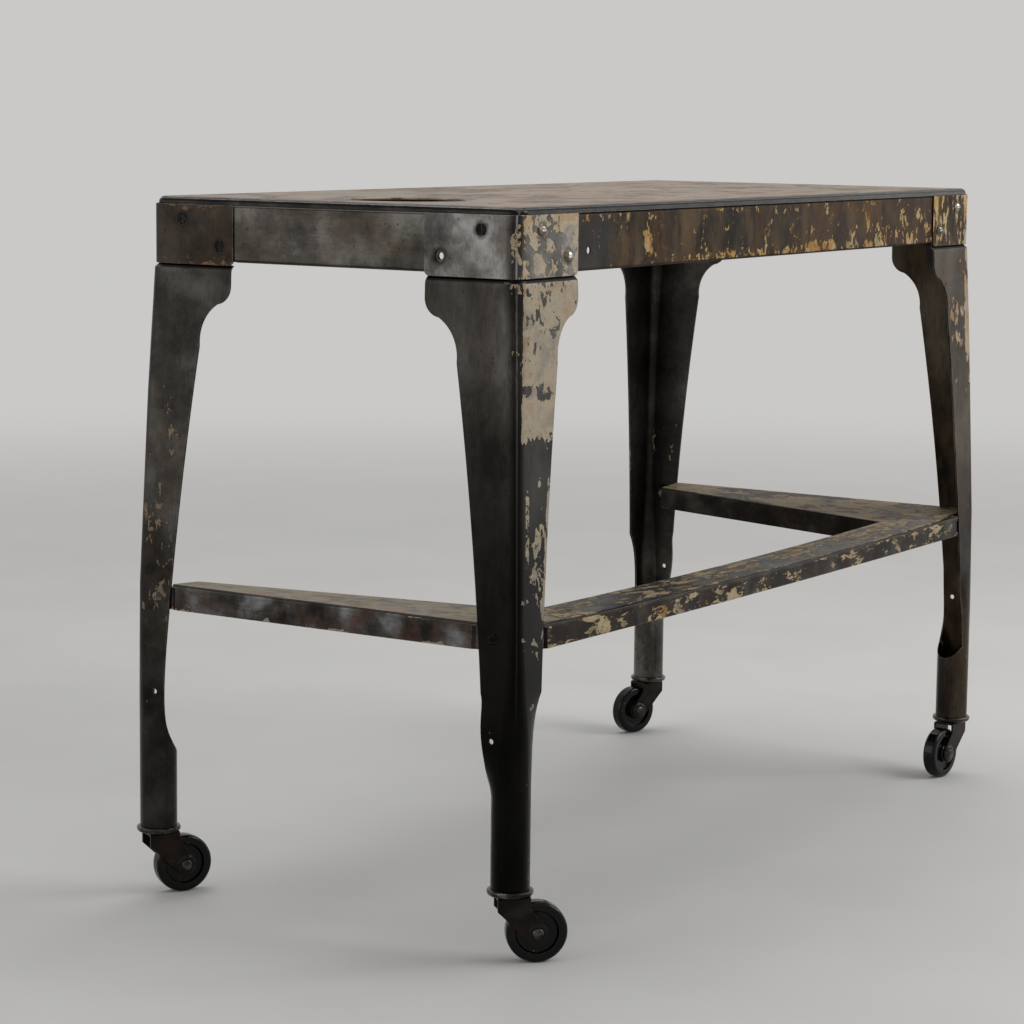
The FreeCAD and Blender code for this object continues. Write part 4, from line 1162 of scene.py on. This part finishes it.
@dataclass
class Legs:
    """The four pressed legs, each an angle that curls into a tube at the foot."""

    nodes: Nodes

    def build(self) -> None:
        """Dress the four legs."""
        for corner, finish in self._finishes().items():
            dress(self.nodes, "leg_" + corner.word, finish.material())

    def _edge_streak(self, corner: Corner, facing: Facing, share: float,
                     run: Run) -> Streak:
        """Paint left along a flange's free edge.

        Args:
            corner: The leg's corner.
            facing: The way the flange looks.
            share: How much paint is left.
            run: How that changes up the leg.

        Returns:
            The streak.
        """
        edge = ((0.24, 0.0258), (0.346, 0.0365), (0.402, 0.0423), (0.46, 0.050), (0.525, 0.0599))
        return Streak(facing, share, corner.outer, edge, 0.009, (run,))

    def _finishes(self) -> dict[Corner, AgedSteel]:
        """The finish of each leg.

        Returns:
            The finishes by corner.
        """
        heavy = Run(Axis.Z, ((0.06, 0.40), (0.20, 0.40), (0.26, 0.50), (0.36, 0.54),
                             (0.43, 0.50), (0.456, 0.58), (0.464, 0.98), (0.490, 0.96),
                             (0.496, 0.62), (0.505, 0.60), (0.513, 0.97), (0.56, 0.90),
                             (0.60, 0.86)))
        streaky = Run(Axis.Z, ((0.06, 0.35), (0.28, 0.50), (0.42, 0.62), (0.47, 0.95),
                               (0.52, 1.0), (0.56, 0.80), (0.60, 0.90)))
        spotted = Run(Axis.Z, ((0.06, 0.5), (0.20, 0.8), (0.28, 1.0), (0.45, 0.9),
                               (0.52, 0.5), (0.60, 0.25)))
        long_edge = Run(Axis.Z, ((0.20, 0.4), (0.30, 0.65), (0.345, 0.8), (0.425, 0.97),
                                 (0.435, 0.6), (0.46, 0.8)))
        by_bend = Run(Axis.Z, ((0.24, 0.5), (0.30, 0.6), (0.355, 0.75), (0.365, 1.0),
                               (0.425, 1.0), (0.432, 0.6), (0.445, 0.9), (0.46, 0.8)))
        # Painted shade and dark reflection on the front left leg's bare steel, darkest toward the
        # foot.
        painted_shade_toward_foot = Run(Axis.Z, ((0.06, 0.20), (0.15, 0.18), (0.22, 0.15), (0.30, 0.24),
                               (0.40, 0.32), (0.47, 0.50), (0.52, 0.80), (0.56, 0.80),
                               (0.585, 0.66), (0.60, 0.60)))
        paint_shade = Run(Axis.Z, ((0.06, 0.40), (0.24, 0.45), (0.34, 0.72), (0.45, 0.85),
                                   (0.60, 0.85)))
        # Painted light at mid-height on the front right leg, a little darker at its top and foot.
        painted_light_mid_leg = Run(Axis.Z, ((0.06, 0.9), (0.20, 0.9), (0.34, 1.05), (0.45, 1.1),
                                  (0.52, 0.9), (0.60, 0.9)))
        # Painted light on the back right leg, strongest on its tube at the foot.
        painted_light_foot = Run(Axis.Z, ((0.06, 1.5), (0.14, 1.6), (0.22, 0.9), (0.34, 1.05),
                                     (0.45, 1.15), (0.60, 1.15)))
        # Darker at the top and the foot of the back left leg than at mid-height.
        darker_top_and_foot = Run(Axis.Z, ((0.06, 0.46), (0.20, 0.55), (0.34, 0.75), (0.44, 0.95),
                                (0.52, 0.70), (0.60, 0.55)))
        stain = Run(Axis.Z, ((0.29, 0.3), (0.33, 1.0), (0.375, 0.9), (0.40, 0.3)))
        bright = SteelTone((40, 38, 34), (74, 71, 66), (112, 110, 106), rust=(66, 52, 40),
                           cloud_size=0.07, cloud_grain=(1.0, 1.0, 0.5))
        brown_leg = SteelTone((20, 18, 14), (48, 43, 36), (84, 76, 63), rust=(62, 44, 30),
                              rust_share=0.5, cloud_grain=(1.0, 1.0, 0.45), metallic=0.75,
                              crest_highlight_share=0.2, specular=0.08)
        smoky = SteelTone((30, 28, 25), (56, 54, 50), (96, 94, 90), rust=(64, 50, 38),
                          cloud_size=0.07, bend_reflection_share=0.0, crest_highlight_share=0.0)
        front_left = Corner.FRONT_LEFT
        bend_streak = Streak(Facing.FRONT, 0.80, front_left.outer, ((0.30, 0.0045),
                                                                    (0.44, 0.0085)),
                             0.0060, (by_bend,))
        return {
            Corner.FRONT_LEFT: AgedSteel(
                "front left leg steel", bright,
                PaintCoat((Patch(Facing.FRONT, 0.93, (heavy,)), bend_streak,
                           Patch(Facing.FRONT_LEFT, 0.50, (heavy,)),
                           self._edge_streak(front_left, Facing.FRONT, 0.88, long_edge)),
                          cream=(168, 154, 130), tan=(150, 128, 98), grey=(142, 132, 116),
                          chip_size=0.014, grain=(1, 1, 0.75), stray=0.16), steel_shade_and_grime=(painted_shade_toward_foot,),
                shade=(paint_shade,), square_above=SQUARE_ABOVE),
            Corner.FRONT_RIGHT: AgedSteel(
                "front right leg steel", brown_leg,
                PaintCoat((Patch(Facing.FRONT, 0.54, (streaky,)),
                           Streak(Facing.FRONT, 0.84, Corner.FRONT_RIGHT.outer,
                                  ((0.24, 0.000), (0.60, 0.010)), 0.016, (streaky,)),
                           Patch(Facing.RIGHT, 0.50, (streaky,))), cream=(160, 142, 112),
                          tan=(142, 112, 72), under_reach=0.06,
                          chip_size=0.011, grain=(1, 1, 0.50), stray=0.10),
                shade=(painted_light_mid_leg,),
                square_above=SQUARE_ABOVE),
            Corner.BACK_RIGHT: AgedSteel(
                "back right leg steel", smoky,
                PaintCoat((Patch(Facing.RIGHT, 0.55, (streaky,)),
                           Patch(Facing.BACK, 0.64, (heavy,)),
                           Patch(Facing.LEFT, 0.58, (stain,))),
                          chip_size=0.018, grain=(1, 1, 0.5), stray=0.05),
                shade=(painted_light_foot,),
                shaded=(Facing.FRONT_LEFT,), square_above=SQUARE_ABOVE),
            Corner.BACK_LEFT: AgedSteel(
                "back left leg steel", BLACKENED,
                PaintCoat((Patch(Facing.LEFT, 0.46, (spotted,)),
                           Patch(Facing.BACK, 0.64, (heavy,))), cream=(132, 112, 86),
                          tan=(112, 84, 56), grey=(104, 90, 72), chip_size=0.0075,
                          grain=(1, 1, 0.6), stray=0.04), shade=(darker_top_and_foot,),
                square_above=SQUARE_ABOVE),
        }


@dataclass
class RailFrame:
    """The three rails between the legs; the back is open for the knees."""

    nodes: Nodes

    def build(self) -> None:
        """Dress the three rails."""
        for name, finish in self._finishes().items():
            dress(self.nodes, name, finish.material())

    def _finishes(self) -> dict[str, AgedSteel]:
        """The finish of each rail.

        Returns:
            The finishes by node.
        """
        across, lengthwise = (1.0, 0.4, 1.0), (0.38, 1.0, 1.0)
        dark_rail = SteelTone((14, 12, 10), (34, 31, 27), (72, 69, 64), rust=(56, 38, 26),
                              rust_share=0.5, cloud_size=0.035, specular=0.08)
        clouded = SteelTone((30, 27, 24), (60, 58, 55), (112, 112, 114), rust=(72, 48, 36),
                            rust_share=0.6, cloud_size=0.030)
        foot = Run(Axis.Z, ((0.278, 1.0), (0.284, 0.6), (0.290, 0.2), (0.298, 0.5), (0.302, 1.0)))
        return {
            "end_rail_left": AgedSteel(
                "left rail steel", clouded,
                PaintCoat((Patch(Facing.UP, 0.86), Patch(Facing.LEFT, 0.56, (foot,))),
                          chip_size=0.014, cream=(150, 137, 117), tan=(136, 116, 90),
                          grey=(124, 116, 104), grain=across), (1.0, 0.10, 1.0)),
            # The dark tone here is partly painted shade for the rail's inner face, which its shaded
            # facings darken further.
            "end_rail_right": AgedSteel(
                "right rail steel", dark_rail,
                PaintCoat((Patch(Facing.UP, 0.80), Patch(Facing.RIGHT, 0.5)), chip_size=0.018,
                          cream=(140, 126, 104), tan=(128, 106, 78), grey=(118, 110, 98),
                          under_reach=0.06, grain=across), (1.0, 0.10, 1.0),
                shaded=(Facing.LEFT, Facing.FRONT_LEFT)),
            "front_rail": AgedSteel(
                "front rail steel", dark_rail,
                PaintCoat((Patch(Facing.UP, 0.64), Patch(Facing.FRONT, 0.54)),
                          cream=(166, 150, 120), tan=(136, 106, 66), grey=(118, 104, 84),
                          under=(84, 64, 42), under_reach=0.04, chip_size=0.008,
                          grain=lengthwise),
                (0.10, 1.0, 1.0)),
        }


@dataclass
class Fasteners:
    """Slotted screws and square nuts."""

    nodes: Nodes
    end_face: float = 0.461
    slot_depth: float = 0.0010

    def build(self) -> None:
        """Dress every screw and nut. The sunk heads are black but for their slots, which carry a
        painted highlight.
        """
        steel = SteelTone((34, 31, 28), (66, 62, 57), (118, 114, 108), rust_share=0.3,
                          cloud_size=0.006, gloss=0.15, edge=(190, 188, 184), edge_share=0.7,
                          bend_reflection_share=0.0, crest_highlight_share=0.0, specular=0.3)
        out, floor = self.end_face, self.end_face - self.slot_depth
        # Black sunk heads; their slots' floors, and all else nearer the middle, lightened as a
        # painted highlight.
        black_heads = Run(Axis.X, ((-out, 0.05), (-floor - 0.0004, 0.05), (-floor, 3.5),
                                   (floor, 3.5), (floor + 0.0004, 0.05), (out, 0.05)))
        screws = AgedSteel("worn screw steel", steel, PaintCoat(stray=0.0), bevel=0.0005,
                           steel_shade_and_grime=(black_heads,))
        nuts = AgedSteel("dull nut steel", BROWNED, PaintCoat(stray=0.0), bevel=0.0006)
        screw_steel, nut_steel = screws.material(), nuts.material()
        for corner in Corner:
            dress(self.nodes, "corner_screws_" + corner.word, screw_steel)
            dress(self.nodes, "corner_nuts_" + corner.word, nut_steel)
        dark_front = Run(Axis.Y, ((-0.20, 0.12), (0.0, 0.12), (0.05, 1.6), (0.20, 1.6)))
        rail = AgedSteel("rail screw steel", steel, PaintCoat(stray=0.0), bevel=0.0005,
                         steel_shade_and_grime=(dark_front,))
        dress(self.nodes, "rail_screws", rail.material())
        dress(self.nodes, "rail_nuts", nut_steel)


@dataclass
class Casters:
    """Four swivel casters: ringed socket, stem, stamped fork, riveted axle and black wheel."""

    nodes: Nodes
    joints: dict[str, dict]
    cheek_face: float = 0.0120
    pin_radius: float = 0.00525
    boss_radius: float = 0.0092
    boss_height: float = 0.0010
    bead_radius: float = 0.02070
    tube_radius: float = 0.0180
    bead_foot: float = 0.0610
    bead_height: float = 0.0056

    def build(self) -> None:
        """Dress the casters, and add the fork's bosses and the socket's rolled bead."""
        ring_tone = SteelTone((28, 26, 24), (56, 53, 49), (108, 104, 99), rust_share=0.4,
                              cloud_size=0.012, gloss=0.20, edge_share=0.3, bend_reflection_share=0.0,
                              crest_highlight_share=0.0)
        fork_tone = SteelTone((12, 10, 9), (22, 19, 16), (40, 34, 29), rust=(40, 28, 20),
                              rust_share=0.6, cloud_size=0.018, gloss=0.34, metallic=0.5,
                              edge=(84, 78, 70), edge_share=0.4, bend_reflection_share=0.0,
                              crest_highlight_share=0.0, specular=0.2)
        pin_tone = SteelTone((34, 31, 28), (62, 58, 54), (104, 100, 95), rust_share=0.3,
                             cloud_size=0.006, gloss=0.16, edge_share=0.5, bend_reflection_share=0.0,
                             crest_highlight_share=0.0)
        ring = AgedSteel("ring steel", ring_tone, PaintCoat(stray=0.16, chip_size=0.007),
                         bevel=0.0007).material()
        fork = AgedSteel("fork steel", fork_tone, PaintCoat(stray=0.0)).material()
        pin = AgedSteel("pin steel", pin_tone, PaintCoat(stray=0.0), bevel=0.0005).material()
        wheel = BlackWheel("black wheel").material()
        for corner in Corner:
            for part, finish in (("socket", ring), ("stem", pin), ("fork", fork), ("axle", pin),
                                 ("wheel", wheel)):
                dress(self.nodes, f"caster_{part}_{corner.word}", finish)
            self._raise_bosses(corner, wheel)
            self._roll_bead(corner, ring)

    def _raise_bosses(self, corner: Corner, material: bpy.types.Material) -> None:
        """Raise a boss round the axle on the outside of each cheek.

        Args:
            corner: The caster's corner.
            material: Its finish.
        """
        joint = self.joints["roll_" + corner.word]
        centre, axis = Vector(joint["pos_m"]), Vector(joint["axis"]).normalized()
        inner, outer, top = self.pin_radius, self.boss_radius, self.boss_height
        profile = [(inner, -top * 0.3), (inner, top), (inner + 0.0006, top * 1.15),
                   (inner + 0.0016, top * 1.1), (outer - 0.0008, top * 0.55),
                   (outer, top * 0.1), (outer, -top * 0.3)]
        for side, word in ((1.0, "near"), (-1.0, "far")):
            blank = Blank(f"fork_boss_{word}_{corner.word}")
            blank.lathe(profile, 48)
            turn = (axis * side).to_track_quat("Z", "Y").to_matrix().to_4x4()
            blank.put(Matrix.Translation(centre + axis * side * self.cheek_face) @ turn)
            boss = blank.finish(material, 50.0)
            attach(boss, "fork_" + corner.word)
            log.info("raised %s", boss.name)

    def _roll_bead(self, corner: Corner, material: bpy.types.Material) -> None:
        """Roll the bead that the leg's tube stands on.

        Args:
            corner: The caster's corner.
            material: Its finish.
        """
        stem = Vector(self.joints["swivel_" + corner.word]["pos_m"])
        inner, outer, tall = self.tube_radius, self.bead_radius, self.bead_height
        bulge = outer - inner
        steps = [math.pi * k / 8 for k in range(9)]
        profile = [(inner + bulge * math.sin(a), tall * (1 - math.cos(a)) / 2) for a in steps]
        blank = Blank("socket_bead_" + corner.word)
        blank.lathe(profile, 72)
        blank.put(Matrix.Translation((stem.x, stem.y, self.bead_foot)))
        bead = blank.finish(material, 60.0)
        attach(bead, "frame")
        log.info("rolled %s", bead.name)


# ---------------------------------------------------------------- the studio
@dataclass(frozen=True)
class Lamp:
    """A soft lamp: where it hangs, what it aims at, its size in metres and its watts."""

    name: str
    place: tuple[float, float, float]
    aim: tuple[float, float, float]
    size: tuple[float, float]
    power: float

    def hang(self) -> None:
        """Hang the lamp in the scene."""
        data = bpy.data.lights.new(self.name, "AREA")
        data.shape = "RECTANGLE"
        data.size, data.size_y = self.size
        data.energy = self.power
        lamp = bpy.data.objects.new(self.name, data)
        lamp.location = self.place
        ahead = Vector(self.aim) - Vector(self.place)
        lamp.rotation_euler = ahead.to_track_quat("-Z", "Y").to_euler()
        bpy.context.scene.collection.objects.link(lamp)


@dataclass
class Studio:
    """Pale floor, soft lamps and the camera."""

    floor_radius: float = 16.0
    eye: tuple[float, float, float] = (-2.5738, -1.5613, 0.7477)
    yaw: float = 0.9949
    pitch: float = 0.1373
    roll: float = 0.0107
    focal_length: float = 103.95
    background: Colour = (202, 201, 199)
    floor_tone: Colour = (196, 195, 192)
    world_strength: float = 0.42
    lamps: tuple[Lamp, ...] = (
        Lamp("key softbox", (1.2, -2.6, 2.3), (0.0, 0.0, 0.35), (2.2, 1.6), 58.0),
        Lamp("end softbox", (-3.0, 2.0, 1.2), (0.0, 0.0, 0.4), (2.8, 2.0), 22.0),
        Lamp("front softbox", (3.0, -2.0, 1.1), (0.0, 0.0, 0.4), (2.2, 1.8), 14.0),
        Lamp("top softbox", (0.4, 0.6, 3.0), (0.0, 0.0, 0.4), (2.4, 2.4), 32.0))

    def build(self) -> None:
        """Set up the studio."""
        scene = bpy.context.scene
        scene.view_settings.view_transform = "Standard"
        self._floor()
        self._world()
        for lamp in self.lamps:
            lamp.hang()
        scene.camera = self._camera()

    def _floor(self) -> None:
        """Lay the floor."""
        blank = Blank("studio_floor")
        bmesh.ops.create_circle(blank.mesh, cap_ends=True, cap_tris=True, segments=96,
                                radius=self.floor_radius)
        floor = blank.finish(PaleFloor("pale floor", self.floor_tone, self.background).material())
        log.info("laid %s", floor.name)

    def _world(self) -> None:
        """Surround the table with even pale light."""
        world = bpy.data.worlds.new("pale surround")
        bpy.context.scene.world = world
        world.use_nodes = True
        tree = world.node_tree
        tree.nodes.clear()
        path = tree.nodes.new("ShaderNodeLightPath")
        seen = tree.nodes.new("ShaderNodeMath")
        seen.operation = "MAXIMUM"
        tree.links.new(path.outputs["Is Camera Ray"], seen.inputs[0])
        tree.links.new(path.outputs["Is Glossy Ray"], seen.inputs[1])
        through = tree.nodes.new("ShaderNodeMath")
        through.operation = "MAXIMUM"
        tree.links.new(seen.outputs[0], through.inputs[0])
        tree.links.new(path.outputs["Is Transmission Ray"], through.inputs[1])
        light = tree.nodes.new("ShaderNodeBackground")
        light.inputs["Color"].default_value = linear((250, 250, 252))
        light.inputs["Strength"].default_value = self.world_strength
        shown = tree.nodes.new("ShaderNodeBackground")
        shown.inputs["Color"].default_value = linear(self.background)
        shown.inputs["Strength"].default_value = 1.0
        mix = tree.nodes.new("ShaderNodeMixShader")
        tree.links.new(through.outputs[0], mix.inputs[0])
        tree.links.new(light.outputs[0], mix.inputs[1])
        tree.links.new(shown.outputs[0], mix.inputs[2])
        output = tree.nodes.new("ShaderNodeOutputWorld")
        tree.links.new(mix.outputs[0], output.inputs[0])

    def _camera(self) -> bpy.types.Object:
        """Set the camera at its place and angle.

        Returns:
            The camera.
        """
        data = bpy.data.cameras.new("camera")
        data.lens = self.focal_length
        data.sensor_width = 36.0
        camera = bpy.data.objects.new("camera", data)
        ahead = Vector((math.sin(self.yaw) * math.cos(self.pitch),
                        math.cos(self.yaw) * math.cos(self.pitch), -math.sin(self.pitch)))
        right = Vector((math.cos(self.yaw), -math.sin(self.yaw), 0.0))
        above = right.cross(ahead)
        turned_right = right * math.cos(self.roll) + above * math.sin(self.roll)
        turned_up = above * math.cos(self.roll) - right * math.sin(self.roll)
        axes = Matrix((turned_right, turned_up, -ahead)).transposed().to_4x4()
        camera.matrix_world = Matrix.Translation(Vector(self.eye)) @ axes
        bpy.context.scene.collection.objects.link(camera)
        return camera


def main() -> None:
    """Build every sub-assembly in order."""
    logging.basicConfig(level=logging.INFO, format="%(name)s: %(message)s")
    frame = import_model()
    nodes = frame["nodes"]
    joints = {joint["name"]: joint for joint in frame["joints"]}
    for assembly in (TableTop(nodes), ApronRing(nodes), CornerPlates(nodes), Legs(nodes),
                     RailFrame(nodes), Fasteners(nodes), Casters(nodes, joints)):
        assembly.build()
        log.info("built %s", type(assembly).__name__)
    Studio().build()


if __name__ == "__main__":
    main()
